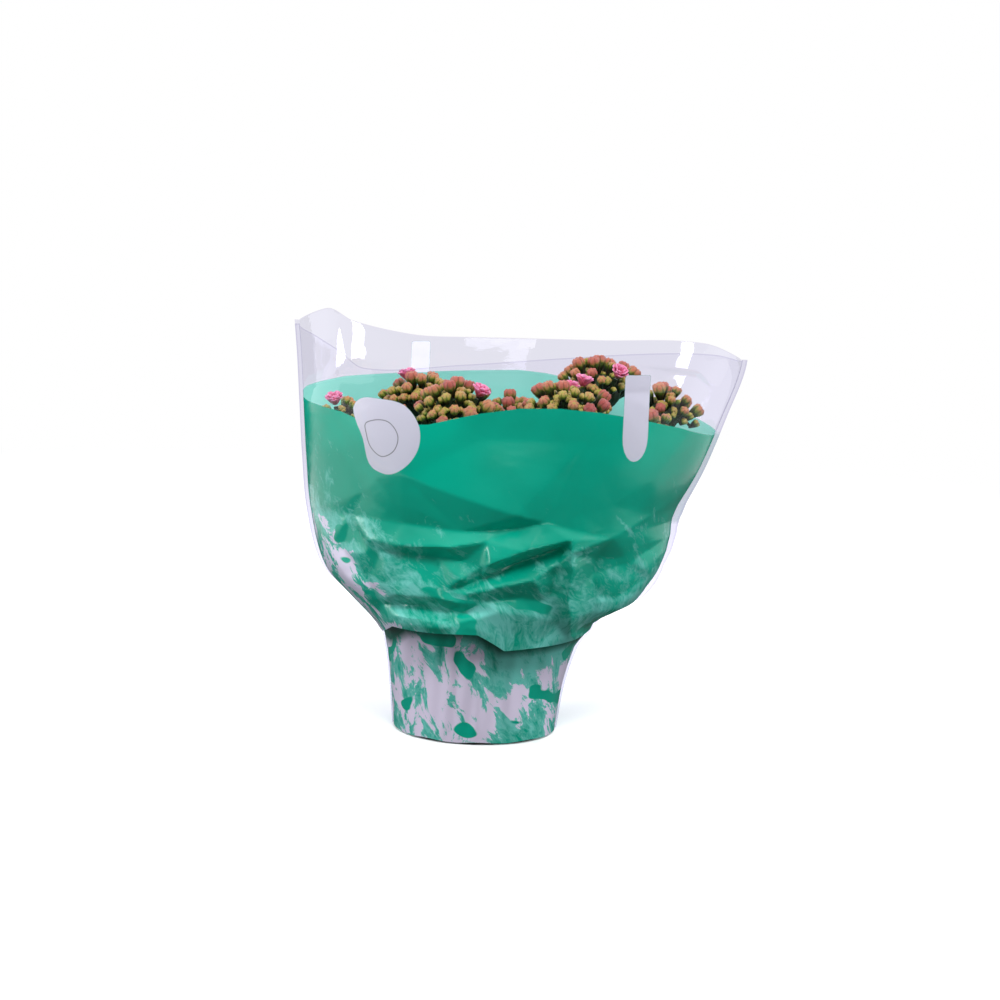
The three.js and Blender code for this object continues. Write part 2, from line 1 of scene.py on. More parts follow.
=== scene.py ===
# %% [markdown]
# A kalanchoe in bud, in a nursery pot, inside the open-ended film sleeve it is sold in.
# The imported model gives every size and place. This script gives the looks: printed film with its
# folds and shine, fleshy scalloped leaves, heads of buds on their branches, peat and a plastic pot.
# Blender works in metres; the real sizes here are given in millimetres and turned to metres once.

import math

import bmesh
import bpy
import numpy as np
from mathutils import Matrix, Vector
from mathutils.geometry import delaunay_2d_cdt


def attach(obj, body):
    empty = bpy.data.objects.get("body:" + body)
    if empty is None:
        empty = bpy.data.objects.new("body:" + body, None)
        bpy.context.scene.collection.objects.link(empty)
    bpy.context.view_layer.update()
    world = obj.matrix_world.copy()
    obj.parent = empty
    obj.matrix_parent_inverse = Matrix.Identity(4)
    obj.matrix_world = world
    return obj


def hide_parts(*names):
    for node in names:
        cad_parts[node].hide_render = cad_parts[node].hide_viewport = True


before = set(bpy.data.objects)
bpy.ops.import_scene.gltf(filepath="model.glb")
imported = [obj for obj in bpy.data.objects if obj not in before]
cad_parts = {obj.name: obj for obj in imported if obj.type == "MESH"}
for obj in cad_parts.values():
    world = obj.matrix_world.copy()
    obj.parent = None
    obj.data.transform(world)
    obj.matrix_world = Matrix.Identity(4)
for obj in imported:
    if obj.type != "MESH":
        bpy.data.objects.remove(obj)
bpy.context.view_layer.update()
MM = 0.001

# %% [markdown]
# The camera looks from one and a half metres away, a little above the plant, through a long lens,
# which keeps the upright lines calm, as in a product picture. The plant leans two degrees in the
# picture, so the camera rolls by that much.

# %% Camera
# where it stands and looks, its lens and its film's width, all mm, and its roll in degrees
CAMERA = {"place": (10.1, -1500, 363), "target": (10.1, 0, 128), "lens": 99.0, "film": 36.0, "roll": 2.0}
# the nearest and the furthest that it sees, m
SEES = (0.05, 30.0)


def add_object(name, data):
    """Puts a camera, a lamp or a mesh into the scene."""
    new = bpy.data.objects.new(name, data)
    bpy.context.scene.collection.objects.link(new)
    return new


def add_camera():
    data = bpy.data.cameras.new("camera")
    data.lens, data.sensor_width = CAMERA["lens"], CAMERA["film"]
    data.clip_start, data.clip_end = SEES
    camera = add_object("camera", data)
    place = Vector(CAMERA["place"]) * MM
    look = Vector(CAMERA["target"]) * MM - place
    turn = look.to_track_quat("-Z", "Y").to_matrix().to_4x4()
    roll = Matrix.Rotation(math.radians(CAMERA["roll"]), 4, "Z")
    camera.matrix_world = Matrix.Translation(place) @ turn @ roll
    bpy.context.scene.camera = camera


add_camera()
print("camera, mm:", CAMERA["place"], "lens, mm:", CAMERA["lens"])

# %% [markdown]
# Materials are made of nodes. One helper turns a hex colour, as a paint chart gives it, into the
# linear numbers that Blender mixes with. The other adds a node, with its settings and its links;
# every node below is made by it.


# %% Material helpers
def linear(code, alpha=1.0):
    """An sRGB hex colour as linear red, green, blue and alpha."""
    values = [int(code[i : i + 2], 16) / 255 for i in (1, 3, 5)]
    return [v / 12.92 if v <= 0.04045 else ((v + 0.055) / 1.055) ** 2.4 for v in values] + [alpha]


def add_node(owner, kind, out=0, **given):
    """Adds a node and returns one output. Lower-case names are settings; the others are sockets,
    by label or number, and take a value or another node's output."""
    node = owner.node_tree.nodes.new("ShaderNode" + kind)
    for key, value in given.items():
        if key == "stops":
            elements = node.color_ramp.elements
            while len(elements) < len(value):
                elements.new(0.5)
            for element, (position, code) in zip(elements, value):
                element.position, element.color = position, linear(code)
        elif key[0].islower():
            setattr(node, key, value)
        else:
            socket = node.inputs[int(key[1:]) if key[0] == "_" else key.replace("_", " ")]
            if isinstance(value, bpy.types.NodeSocket):
                owner.node_tree.links.new(value, socket)
            else:
                socket.default_value = value
    return node.outputs[out] if len(node.outputs) else node


def new_material(name):
    material = bpy.data.materials.new(name)
    material.use_nodes = True
    material.node_tree.nodes.clear()
    return material


print("a teal ink, linear:", [round(v, 3) for v in linear("#00AA8E")])

# %% [markdown]
# The sleeve is two trapezoids of thin film, welded along both slanting sides and open at the top
# and the bottom. It is drawn tight round the pot and flares out above it. The outline at each height
# is the frame's own, so the film lies where the frame's solid does. The rim is cut in a wave, and
# the back panel stands higher at the left.

# %% The sleeve's outline
# height, left edge, right edge, front depth, back depth, left weld, right weld, all mm
STATIONS = np.array(
    [
        (0, -45.7, 45.7, 44.6, 44.6, 0.8, 0.8),
        (25, -48.3, 49.5, 47.6, 47.6, 1, 1.4),
        (45, -51.2, 55.5, 50.6, 50.6, 1.2, 2),
        (58, -56, 62.5, 54, 54, 1.6, 3),
        (75, -74, 88, 63, 62, 2.2, 5),
        (90, -88, 99, 68, 67, 2.5, 6),
        (120, -96.5, 108.5, 72, 72, 2.6, 5),
        (150, -99.8, 122.5, 76, 76, 2.6, 3.5),
        (180, -102, 133.5, 79, 79, 2.6, 3),
        (205, -103.8, 142, 81, 81, 2.6, 3),
        (228, -106, 144, 83, 83, 2.6, 3),
    ]
)
RIM = {
    "front": [
        (-106, 222.5), (-92, 219.5), (-80, 214), (-65, 205), (-13, 210.5), (39, 216), (88, 219), (122, 217),
        (144, 209),
    ],
    "back": [
        (-106, 222.5), (-94, 226.5), (-87, 227), (-76, 219.5), (-45, 211.5), (-20, 210), (64, 211),
        (122, 214.5), (144, 209),
    ],
}


def smooth(points, at):
    """A smooth curve through points, as the frame's own source draws it."""
    xs, ys = np.array([p[0] for p in points], float), np.array([p[1] for p in points], float)
    last = len(xs) - 1
    i = np.clip(np.searchsorted(xs, at, side="right") - 1, 0, last - 1)
    low, high = np.maximum(np.arange(last + 1) - 1, 0), np.minimum(np.arange(last + 1) + 1, last)
    slope = (ys[high] - ys[low]) / (xs[high] - xs[low])
    width = xs[i + 1] - xs[i]
    t = np.clip((at - xs[i]) / width, 0, 1)
    h = t * t * (3 - 2 * t)
    lean = slope[i] * t * (1 - t) ** 2 - slope[i + 1] * t * t * (1 - t)
    return ys[i] + (ys[i + 1] - ys[i]) * h + width * lean


def section(z):
    """The sleeve's cross-section at a height: left, right, front, back and the two weld widths."""
    left, right, front, back, weld_l, weld_r = (
        smooth(list(zip(STATIONS[:, 0], STATIONS[:, k])), z) for k in range(1, 7)
    )
    return left + weld_l, right - weld_r, front, back, weld_l, weld_r


widths = STATIONS[:, 2] - STATIONS[:, 1]
print("sleeve's width at its hem and rim, mm:", widths[0], widths[-1])

# %% [markdown]
# Film doesn't stretch like cloth. Its slack gathers in flat facets that meet in straight, sharp
# creases, like a crumpled sheet of paper. So the creases come first, as lines with a height at
# each point: a ridge stands out, a valley goes in. They could be drawn by hand in sculpting; as
# lines they stay easy to move.

# %% The creases
# each crease is a line of points: x, z, and how far the film stands out there, all mm
CREASES = {
    "front": [
        [(-42, 150, 1.5), (19, 132, 3), (34, 128, 1.5)],
        [(-69, 124, -3), (-41, 123, -2.5), (-9, 121, -2), (19, 124, -1.5)],
        [(-55, 148, -0.5), (-63, 138, -2), (-69, 124, -3), (-63, 114, -2), (-60, 104, -1)],
        [(-60, 113, 0.5), (-38, 112, 2), (-18, 113, 2), (4, 117, 0.5)],
        [(-52, 107, -1), (-40, 106.5, -3), (-23, 106, -3.5), (-8, 105, -2), (2, 102, -0.5)],
        [(-9, 96, 1.5), (6, 105, 4), (24, 113, 5.5), (48, 119, 6), (49, 112, 7)],
        [(-16, 89, -0.5), (0, 95, -2), (20, 105, -3), (43, 114, -2)],
        [(-8, 88, 1), (10, 93, 3), (29, 97, 3.5), (42, 106, 2.5)],
        [(49, 112, 7), (50, 101, 6), (48, 86, 5), (50, 72, 5), (53, 61, 5)],
        [(41, 100, 1), (39, 86, 0), (42, 72, 0)],
        [(60, 108, -1), (60, 98, -2.5), (62, 86, -2.5), (60, 67, -1)],
        [(49, 112, 7), (70, 119, 5), (92, 130, 4), (115, 141, 2)],
        [(61, 95, -2), (78, 103, -2.5), (99, 114, -1.5)],
        [(48, 124, 3), (70, 138, 3), (93, 152, 4), (111, 178, 3), (118, 192, 1)],
        [(-50, 73, 1), (-42, 74, 3), (-28, 74.5, 4), (-17, 73.5, 3), (-10, 72.5, 1)],
        [(-51, 77.5, -1), (-40, 78.5, -3), (-28, 79, -3.5), (-17, 78, -2.5), (-7, 77, -1)],
        [(-46, 84, 1.5), (-20, 85, 2), (-6, 83, 1)],
        [(-95, 122, 0.5), (-84, 108, 1.5), (-76, 94, 2.5), (-62, 80, 2.5), (-54, 67, 1.5)],
        [(-74, 104, -1.5), (-60, 90, -2), (-52, 80, -1)],
        [(95, 92, 2.5), (80, 80, 2.5), (66, 67, 2)],
        [(86, 92, -1.5), (72, 82, -1.5)],
        [(-99, 176, 0), (-90, 190, 1.8), (-86, 214, 2)],
        [(-80, 178, -1), (-78, 196, -1.5), (-76, 212, -1)],
        [(122, 172, 1), (126, 190, 2), (128, 214, 2)],
        [(-8, 76, 1.5), (12, 80, 2), (34, 76, 1.5)],
        [(2, 84, 0), (22, 86, -0.5), (38, 84, 0)],
    ],
    "back": [
        [(-56, 88, 1), (-30, 98, 4), (0, 108, 5), (18, 116, 2)],
        [(-50, 78, 0), (-24, 86, -2.5), (6, 96, -3)],
        [(20, 112, 1), (42, 104, 4), (66, 96, 5), (62, 66, 4)],
        [(30, 94, -2), (54, 86, -2.5)],
        [(-70, 128, 2), (-30, 134, 3), (12, 142, 3.5), (30, 146, 1)],
        [(-64, 116, -2), (-20, 122, -3), (14, 128, -1.5)],
        [(40, 152, 0), (68, 140, 4), (96, 130, 3)],
        [(46, 128, -2), (76, 118, -3), (98, 108, -1)],
        [(96, 130, 3), (110, 160, 3), (118, 196, 2)],
        [(-90, 118, 1), (-80, 98, 2.5), (-62, 78, 2)],
        [(-24, 70, 3), (-6, 72, 4), (14, 70, 2)],
        [(-98, 176, 0.5), (-88, 196, 2), (-84, 222, 2)],
        [(84, 96, 2.5), (72, 78, 2.5)],
    ],
}

# round these points the film is smooth
STILL = [(x, z, 0) for x in (-130, -80, -30, 20, 70, 120, 165) for z in (198, 250)]
STILL += [(x, z, 0) for x in (-130, 165) for z in (40, 80, 120, 160)]
STILL += [(x, 48, 0) for x in (-60, -20, 20, 60)] + [(-60, 170, 0), (0, 172, 0), (55, 172, 0)]
print("creases:", {panel: len(lines) for panel, lines in CREASES.items()})

# %% [markdown]
# The triangles between the creases are then filled in, so that every facet is truly flat, which a
# sum of soft waves could never give. Delaunay triangulation finds them and keeps each crease as an
# edge between two facets.


# %% Facets between the creases
# points nearer than this are one, mm; smaller triangles are skipped, mm²; and room for rounding
SAME_PLACE, SLIVER, ROUNDING = 0.01, 1e-9, 1e-6


def joined(lines, still):
    """The places and heights of the points, and which of them a crease joins."""
    places, heights, links = [], [], []
    for line in lines:
        for i, (x, z, height) in enumerate(line):
            if (x, z) not in places:
                places.append((x, z))
                heights.append(height)
            if i:
                links.append((places.index(line[i - 1][:2]), places.index((x, z))))
    for x, z, height in still:
        places.append((x, z))
        heights.append(height)
    return places, heights, links


def facets(lines, still, x, z):
    """Heights at x, z of the flat triangles between creases."""
    places, heights, links = joined(lines, still)
    flat = [Vector(place) for place in places]
    corners, _, faces, sources = delaunay_2d_cdt(flat, links, [], 0, SAME_PLACE)[:4]
    known = [heights[source[0]] if source else 0 for source in sources]
    total = np.zeros_like(x)
    for face in faces:
        (ax, az), (bx, bz), (cx, cz) = (corners[i] for i in face)
        area = (bx - ax) * (cz - az) - (cx - ax) * (bz - az)
        near = (x >= min(ax, bx, cx)) & (x <= max(ax, bx, cx))
        at = np.nonzero(near & (z >= min(az, bz, cz)) & (z <= max(az, bz, cz)))[0]
        if len(at) and abs(area) > SLIVER:
            b = ((x[at] - ax) * (cz - az) - (cx - ax) * (z[at] - az)) / area
            c = ((bx - ax) * (z[at] - az) - (x[at] - ax) * (bz - az)) / area
            ok = (b >= -ROUNDING) & (c >= -ROUNDING) & (b + c <= 1 + ROUNDING)
            height = (1 - b - c) * known[face[0]] + b * known[face[1]] + c * known[face[2]]
            total[at[ok]] = height[ok]
    return total


ridge_top = facets(CREASES["front"], STILL, np.array([49.0]), np.array([112.0]))
print("front panel's highest ridge stands out, mm:", ridge_top.round(1).tolist())

# %% [markdown]
# Between the large folds the film is crumpled too: many small facets where it is gathered over the
# pot, few and wide ones above. They are scattered points with small random heights, joined up by
# the same function.

# %% Small facets and folds
# step across, step up and height of the small facets, all mm
CRUMPLE = {"gathered": (11, 6.5, 0.36), "taut": (26, 19, 0.16)}
GATHERED_BELOW = 122
CRUMPLE_SEED = {"front": 11, "back": 12}
# the field that the points fill: left, right, bottom and top, mm
FIELD = (-130, 166, 50.0, 250)
# how far a point may lie off its row and column, as a share of a step
SCATTER = 0.45
# beyond the field the film is smooth
BEYOND = [(x, z, 0) for x in (-140, 175) for z in (30, 260)] + [(x, 30, 0) for x in (-60, 0, 60)]
# how much every crease is deepened, and how far off the readings that blunt it are taken, mm
SLACK, BLUNT = 1.65, 1.0


def crumple(seed):
    rng = np.random.default_rng(seed)
    spots, (left, right, z, top) = [], FIELD
    while z < top:
        step_x, step_z, tall = CRUMPLE["gathered" if z < GATHERED_BELOW else "taut"]
        for x in np.arange(left, right, step_x):
            shift_x, shift_z = rng.uniform(-SCATTER, SCATTER), rng.uniform(-SCATTER, SCATTER)
            spots.append((x + shift_x * step_x, z + shift_z * step_z, rng.normal(0, tall)))
        z += step_z
    return spots + BEYOND


def folds(panel, x, z):
    """How far the folds push the film out. Five nearby readings blunt each crease a little."""
    around = [(0, 0), (BLUNT, 0), (-BLUNT, 0), (0, BLUNT), (0, -BLUNT)]
    large = sum(facets(CREASES[panel], STILL, x + dx, z + dz) for dx, dz in around) / len(around)
    return SLACK * large + facets([], crumple(CRUMPLE_SEED[panel]), x, z)


print("small facets' points:", len(crumple(CRUMPLE_SEED["front"])))

# %% [markdown]
# Where the sleeve narrows to the pot, its film turns over in one deep pleat. The film above hangs
# out past it as a lip; the film below is tucked in and keeps shallow upright waves round the pot.
# On the right the film is pinched in here and there, and its welded flap narrows. Each is a few
# points, read at a height or at a place across the film.

# %% The film's shape
# x and height of the pleat, mm, and the share of the grid's rows that lies below it
PLEAT = {
    "front": [(-60, 60), (-48, 58.7), (-36, 68), (-1, 70.2), (12.5, 60.6), (48, 62), (66, 61)],
    "back": [(-60, 60), (-30, 56), (6, 62), (30, 67), (52, 58), (66, 61)],
}
PLEAT_AT = 0.27
# the heights at which the lines of the pleat and the rim are read, mm
READ_AT = {"pleat": 54.0, "rim": 214.0}
# the hem's height and its ripples' height, mm, and how many radians of ripples lie across a panel
HEM = {"height": 0.5, "ripple": 0.35, "ripples": 29}
# how far the film stands out over the pleat, hangs down and is tucked in under it, and how soon
# that fades above it and below it, all mm; and how much of it goes sideways
LIP = {"out": 6.5, "droop": 5.0, "tuck": 5.0, "fade": 8.0, "tuck_fade": 7, "sideways": 0.5}
# at the pleat the folds have this share of their height, and this many mm above it all of it; the
# power makes them fade towards the welds
FOLDS = {"at_pleat": 0.4, "grow_over": 4, "power": 0.6}
# each panel's distance from the plane of the welds, mm
OFF_WELD = 0.05
# height, and how much wider the flap of the right-hand weld is there, mm
FLAP = [(66, 0), (73, -1), (84, -1.2), (94, -3.5), (105, -2.5), (116, -1.5), (124, 0)]
# height, and how far the right-hand third is drawn in there, mm
PINCH = [
    (48, 0), (55, -2.5), (60, -1), (66, 4.5), (70, 3.5), (76, -3), (84, -3), (92, -4.5), (104, -5),
    (113, -4), (122, -1), (130, 0),
]
# each wave's height, mm, its radians for each mm across and up, and its start
POT_WAVES = [(0.45, 0.31, 0.03, 0), (0.3, 0.73, -0.05, 1)]
# the waves are full from this height on, mm; the hem keeps the least share of them
WAVES = {"full_at": 10, "least": 0.15}


def pot_waves(x, z):
    wave = sum(tall * np.sin(x * by_x + z * by_z + start) for tall, by_x, by_z, start in POT_WAVES)
    return wave * np.clip(z / WAVES["full_at"], WAVES["least"], 1)


def across(column, z):
    """How far across the sleeve a column of the grid lies at a height."""
    left, right = section(z)[:2]
    return (left + right) / 2 - (right - left) / 2 * np.cos(np.clip(column, 0, 1) * np.pi)


def heights(panel, column, row):
    """The height of the pleat in each column, and of each point of the grid."""
    pleat = np.interp(across(column, np.full_like(row, READ_AT["pleat"])), *zip(*PLEAT[panel]))
    rim = smooth(RIM[panel], across(column, np.full_like(row, READ_AT["rim"])))
    wave = np.sin(column * HEM["ripples"] + (-1 if panel == "front" else 1))
    hem = HEM["height"] + HEM["ripple"] * (1 + wave) * np.sin(np.clip(column, 0, 1) * np.pi)
    low = hem + (pleat - hem) * row / PLEAT_AT
    high = pleat + (rim - pleat) * (row - PLEAT_AT) / (1 - PLEAT_AT)
    return pleat, np.where(row > PLEAT_AT, high, low)


def film_points(panel, column, row):
    """The points, their heights and the pleat's, for a grid whose columns beyond 0 and 1 are the welds."""
    way = -1.0 if panel == "front" else 1.0
    cos, sin = np.cos(np.clip(column, 0, 1) * np.pi), np.sin(np.clip(column, 0, 1) * np.pi)
    pleat, z = heights(panel, column, row)
    x, above = across(column, z), row > PLEAT_AT
    front, back, weld_l, weld_r = section(z)[2:]
    lip = np.where(above, np.exp(-(z - pleat) / LIP["fade"]) * sin, 0)
    tucked = pot_waves(x, z) - LIP["tuck"] * np.exp(-(pleat - z) / LIP["tuck_fade"])
    grown = np.clip((z - pleat) / FOLDS["grow_over"] + FOLDS["at_pleat"], 0, 1)
    slack = np.where(above, folds(panel, x, z) * grown, tucked) * np.clip(sin, 0, 1) ** FOLDS["power"]
    out = sin * (front if way < 0 else back) + slack + lip * LIP["out"]
    pinch = np.interp(z, *zip(*PINCH)) * np.clip(-cos * 2 - 1, 0, 1)
    x = x - lip * LIP["out"] * cos * LIP["sideways"] - pinch
    left_strip, right_strip = weld_l, weld_r + np.interp(z, *zip(*FLAP))
    weld = np.where(column < 0, column * left_strip, np.where(column > 1, (column - 1) * right_strip, 0))
    return np.stack([x + weld, way * (OFF_WELD + out), z - lip * LIP["droop"]], -1), z, pleat


hem_and_rim = film_points("front", np.array([0.5, 0.5]), np.array([0.0, 1.0]))[0]
print("middle of the front at its hem and rim, mm:", hem_and_rim.round(1).tolist())

# %% [markdown]
# A plain white badge and a plain upright tag are printed on the front, and a smaller tag on the
# back. A picture of them could be laid on the film, but its edges would blur close up. So each is
# an outline in millimetres, and every point of the grid keeps its distance to it: the material
# draws the edge where that is nought, and it is as sharp between the points as on them.


# %% Labels
def closed_curve(knots, steps=5):
    """Points on a smooth closed curve through knots."""
    here = np.array(knots, float)
    after = np.roll(here, -1, 0)
    length = np.linalg.norm(after - here, axis=1)[:, None]
    ahead = (after - here) / length
    length_before = np.roll(length, 1, 0)
    lean = (ahead * length_before + np.roll(ahead, 1, 0) * length) / (length + length_before)
    t = np.arange(steps)[:, None, None] / steps
    curve = here + (after - here) * t * t * (3 - 2 * t)
    curve = curve + length * (lean * t * (1 - t) ** 2 - np.roll(lean, -1, 0) * t * t * (1 - t))
    return [tuple(p) for p in curve.transpose(1, 0, 2).reshape(-1, 2)]


BADGE = closed_curve([
    (-68.3, 186), (-65.6, 188.4), (-54.9, 189.4), (-41.8, 187.3), (-34.1, 178.2), (-33.3, 166.3),
    (-40.2, 154.7), (-49.8, 149.5), (-58, 151.9), (-63.6, 167),
])
RING = closed_curve([
    (-62.4, 175.5), (-58.5, 177.6), (-50, 177.6), (-44.7, 170.5), (-47, 162.2), (-53.3, 158.8),
    (-58.8, 162.5), (-61.8, 170),
])
BACK_TAG = [(-43, 206.8), (-33.5, 206.8), (-33.5, 190), (-43, 190)]
# how far the tags' corners are rounded, and a distance that is beyond all others, mm
TAG_CORNER, FAR = 0.5, 1e3


def tag_outline(middle, half, top, foot, deep):
    """An upright tag whose round foot starts at a height and hangs deep below it."""
    arc = np.linspace(0, math.pi, 11)
    round_foot = [(middle + half * math.cos(a), foot - deep * math.sin(a)) for a in arc]
    return [(middle - half, top), (middle + half, top)] + round_foot


TAG = tag_outline(middle=80, half=6.2, top=207, foot=174, deep=12.5)


def to_outline(x, z, corners, radius=0.0):
    """Distance in mm to a closed outline grown by a radius, negative inside."""
    inside, least = np.zeros_like(x, bool), np.full_like(x, FAR)
    for (ax, az), (bx, bz) in zip(corners, corners[1:] + corners[:1]):
        ex, ez = bx - ax, bz - az
        t = np.clip(((x - ax) * ex + (z - az) * ez) / (ex * ex + ez * ez), 0, 1)
        least = np.minimum(least, np.hypot(x - ax - t * ex, z - az - t * ez))
        if az != bz:
            inside ^= ((az > z) != (bz > z)) & (x < ax + (z - az) * ex / ez)
    return np.where(inside, -least, least) - radius


def label_values(panel, x, z):
    """How far each point lies from the nearest label's edge, and from the badge's ring."""
    if panel == "front":
        label = np.minimum(to_outline(x, z, BADGE), to_outline(x, z, TAG, TAG_CORNER))
        return label, to_outline(x, z, RING)
    return to_outline(x, z, BACK_TAG, TAG_CORNER), np.full_like(x, FAR)


badge_depth = -to_outline(np.array([-50.0]), np.array([170.0]), BADGE)
print("the badge's middle lies inside its edge by, mm:", badge_depth.round(1).tolist())

# %% [markdown]
# The print ends in a wavy edge near the rim, and at the sides it runs just onto the welds. Low
# down it breaks up into marbling: white comes up highest along the left edge, and a thin veil
# reaches above it. Lines of heights hold that, and each point of the film keeps how far from them
# it is. The material reads the numbers by name, so the pattern can change without the shape.

# %% What the print needs to know
# a panel's flat widths and height, mm
FLAT_SIZE = {"hem": 150, "rim": 350, "tall": 245}
# a panel is about this much longer round its curve than it is wide, and a weld is this wide, mm
WAY_ROUND, WELD = 1.5, 2.6
# the print reaches this far onto a weld; beyond it the left-hand weld is clear for this much, mm
PRINT_ON_WELD, CLEAR_LEFT = 0.3, 1.3
# height, and how far the right-hand weld is clear beyond the print, mm
CLEAR_WELD = [(95, 1.3), (120, 0.2)]
# below the pleat the ink is painted darker, as painted shade under the lip: fully as far down as this, then
# fading over this, mm
UNDER_LIP_SHADE_SPAN = {"shade_down_to": 7.0, "shade_fades_over": 5.0}
# the heights over which the marbling and the veil thin out, and their least and most
MARBLING = {"over": 16, "least": -3, "most": 1.05}
VEIL = {"over": 22, "least": -4, "most": 1, "more_on_pot": 0.7}
# the height from which the veil thickens on the pot, and how far down until it has done so, mm
ON_POT = {"from": 64, "over": 8}
# x and height of the print's upper edge, and of the lines that marbling and veil come up to, mm
PRINT_EDGE = {
    "front": [
        (-104, 183), (-76, 180), (-62, 176), (-29, 178), (-17, 181.5), (-2, 185.4), (19, 189),
        (40, 189.4), (60, 187.6), (82, 184), (104, 178.4), (136, 166),
    ],
    "back": [
        (-104, 183), (-99, 186.3), (-80, 188.7), (-50, 189.3), (-4, 191), (19, 191.8), (34, 190.6),
        (97, 180), (116, 174), (136, 168),
    ],
}
MARBLED_BELOW = [
    (-104, 138), (-85, 126), (-72, 114), (-58, 98), (-44, 84), (-25, 74), (2, 70), (9, 50), (19, 40),
    (28, 46), (60, 54), (100, 70), (140, 76),
]
VEILED_BELOW = [
    (-104, 160), (-85, 138), (-62, 118), (-40, 108), (-10, 100), (30, 94), (70, 102), (100, 112),
    (140, 120),
]


def film_values(panel, points, z, pleat, column, row):
    """The numbers that the film's material reads at each point."""
    x = points[:, 0]
    left, right = section(z)[:2]
    reach, clear_right = (right - left) * WAY_ROUND, -np.interp(z, *zip(*CLEAR_WELD))
    from_left = np.where(column < 0, -CLEAR_LEFT, column * reach + PRINT_ON_WELD)
    from_right = np.where(column > 1, clear_right, (1 - column) * reach + PRINT_ON_WELD)
    outer = np.minimum(np.where(column < 0, 1 + column, 1 + column * reach), 2)
    outer = np.minimum(outer, np.where(column > 1, 2 - column, 1 + (1 - column) * reach))
    on_pot = np.clip((ON_POT["from"] - z) / ON_POT["over"], 0, 1)
    marbled_up = (np.interp(x, *zip(*MARBLED_BELOW)) - z) / MARBLING["over"]
    veiled_up = (np.interp(x, *zip(*VEILED_BELOW)) - z) / VEIL["over"]
    label, ring = label_values(panel, x, z)
    # painted shade under the pleat's lip: full just below it, then fading downwards
    painted_shade_below = 1 - (pleat - z - UNDER_LIP_SHADE_SPAN["shade_down_to"]) / UNDER_LIP_SHADE_SPAN["shade_fades_over"]
    return {
        "folded": np.where(z <= pleat, np.clip(painted_shade_below, 0, 1), 0),
        "to_edge": np.minimum((1 - row) * FLAT_SIZE["tall"], outer * WELD),
        "above_print": z - np.interp(x, *zip(*PRINT_EDGE[panel])),
        "inside_print": np.minimum(from_left, from_right),
        "marbling": np.clip(marbled_up, MARBLING["least"], MARBLING["most"]),
        "veil": np.clip(veiled_up, VEIL["least"], VEIL["most"] + VEIL["more_on_pot"] * on_pot),
        "label": label,
        "ring": ring,
    }


edge_heights = [z for _, z in PRINT_EDGE["front"]]
print("print's edge in front, lowest and highest, mm:", min(edge_heights), max(edge_heights))

# %% [markdown]
# A panel could be a spline surface, but a plain grid is simpler to read. Its outer columns become
# the welded strips, and two rows that lie close together let the film turn over sharply at the
# pleat. The points are moved to their places all at once. A UV map keeps the film's own flat
# millimetres for the marbling.


# %% Build a film panel
# the back's marbling is read this far along from the front's, so that it is another, mm
BACK_PRINT_AT = 400
# the pleat's two rows are this far apart, as a share of all rows; and edges that are bent by more
# degrees than this are sharp
PLEAT_ROWS, SHARP_FROM = 1e-4, 32


def mesh_from(name, bm):
    """A mesh of what was shaped in a bmesh, which is then let go."""
    mesh = bpy.data.meshes.new(name)
    bm.to_mesh(mesh)
    bm.free()
    return mesh


def flat_grid(name, columns, rows):
    """A grid mesh, with its points' places across and up it from 0 to 1."""
    bm = bmesh.new()
    bmesh.ops.create_grid(bm, x_segments=columns, y_segments=rows, size=0.5)
    mesh = mesh_from(name, bm)
    flat = np.empty(len(mesh.vertices) * 3)
    mesh.vertices.foreach_get("co", flat)
    return mesh, flat.reshape(-1, 3)[:, 0] + 0.5, flat.reshape(-1, 3)[:, 1] + 0.5


def add_flat_map(mesh, panel, column, row):
    width = FLAT_SIZE["hem"] + (FLAT_SIZE["rim"] - FLAT_SIZE["hem"]) * row
    across_film = (np.clip(column, 0, 1) - 0.5) * width + (0 if panel == "front" else BACK_PRINT_AT)
    index = np.empty(len(mesh.loops), int)
    mesh.loops.foreach_get("vertex_index", index)
    places = np.stack([across_film, row * FLAT_SIZE["tall"]], -1)[index]
    mesh.uv_layers.new(name="flat_film").data.foreach_set("uv", places.ravel())


def film_mesh(panel, columns=280, rows=240):
    mesh, u, v = flat_grid("film_" + panel, columns, rows)
    strip = 2 / columns
    column = (u - strip) / (1 - 2 * strip)
    column = np.where(u < strip, u / strip - 1, column)
    column = np.where(u > 1 - strip, 1 + (u - 1 + strip) / strip, column)
    squeezed = (v - PLEAT_AT) * (1 - PLEAT_ROWS / (1 - PLEAT_AT))
    row = np.where(v < PLEAT_AT, v, PLEAT_AT + PLEAT_ROWS + squeezed)
    points, z, pleat = film_points(panel, column, row)
    mesh.vertices.foreach_set("co", (points * MM).ravel())
    for name, values in film_values(panel, points, z, pleat, column, row).items():
        attribute = mesh.attributes.new(name, "FLOAT", "POINT")
        attribute.data.foreach_set("value", values.astype(np.float32))
    add_flat_map(mesh, panel, column, row)
    if panel == "back":
        mesh.flip_normals()
    mesh.shade_smooth()
    mesh.set_sharp_from_angle(angle=math.radians(SHARP_FROM))
    return mesh


def film_panel(panel):
    piece = add_object("film_" + panel, film_mesh(panel))
    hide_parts("sleeve_" + panel)
    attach(piece, "root")
    return piece


film = {panel: film_panel(panel) for panel in ("front", "back")}
print("film points:", {panel: len(piece.data.vertices) for panel, piece in film.items()})

# %% [markdown]
# The film is printed polypropylene, 40 microns thick. The marbling is one ragged noise, stretched
# along a steep diagonal: white where it comes up to the lines above, and a pale veil of threads
# where it nearly does. A broader noise leaves plain islands in both. A painted picture would do as
# well, but noise stays sharp however close the eye comes.

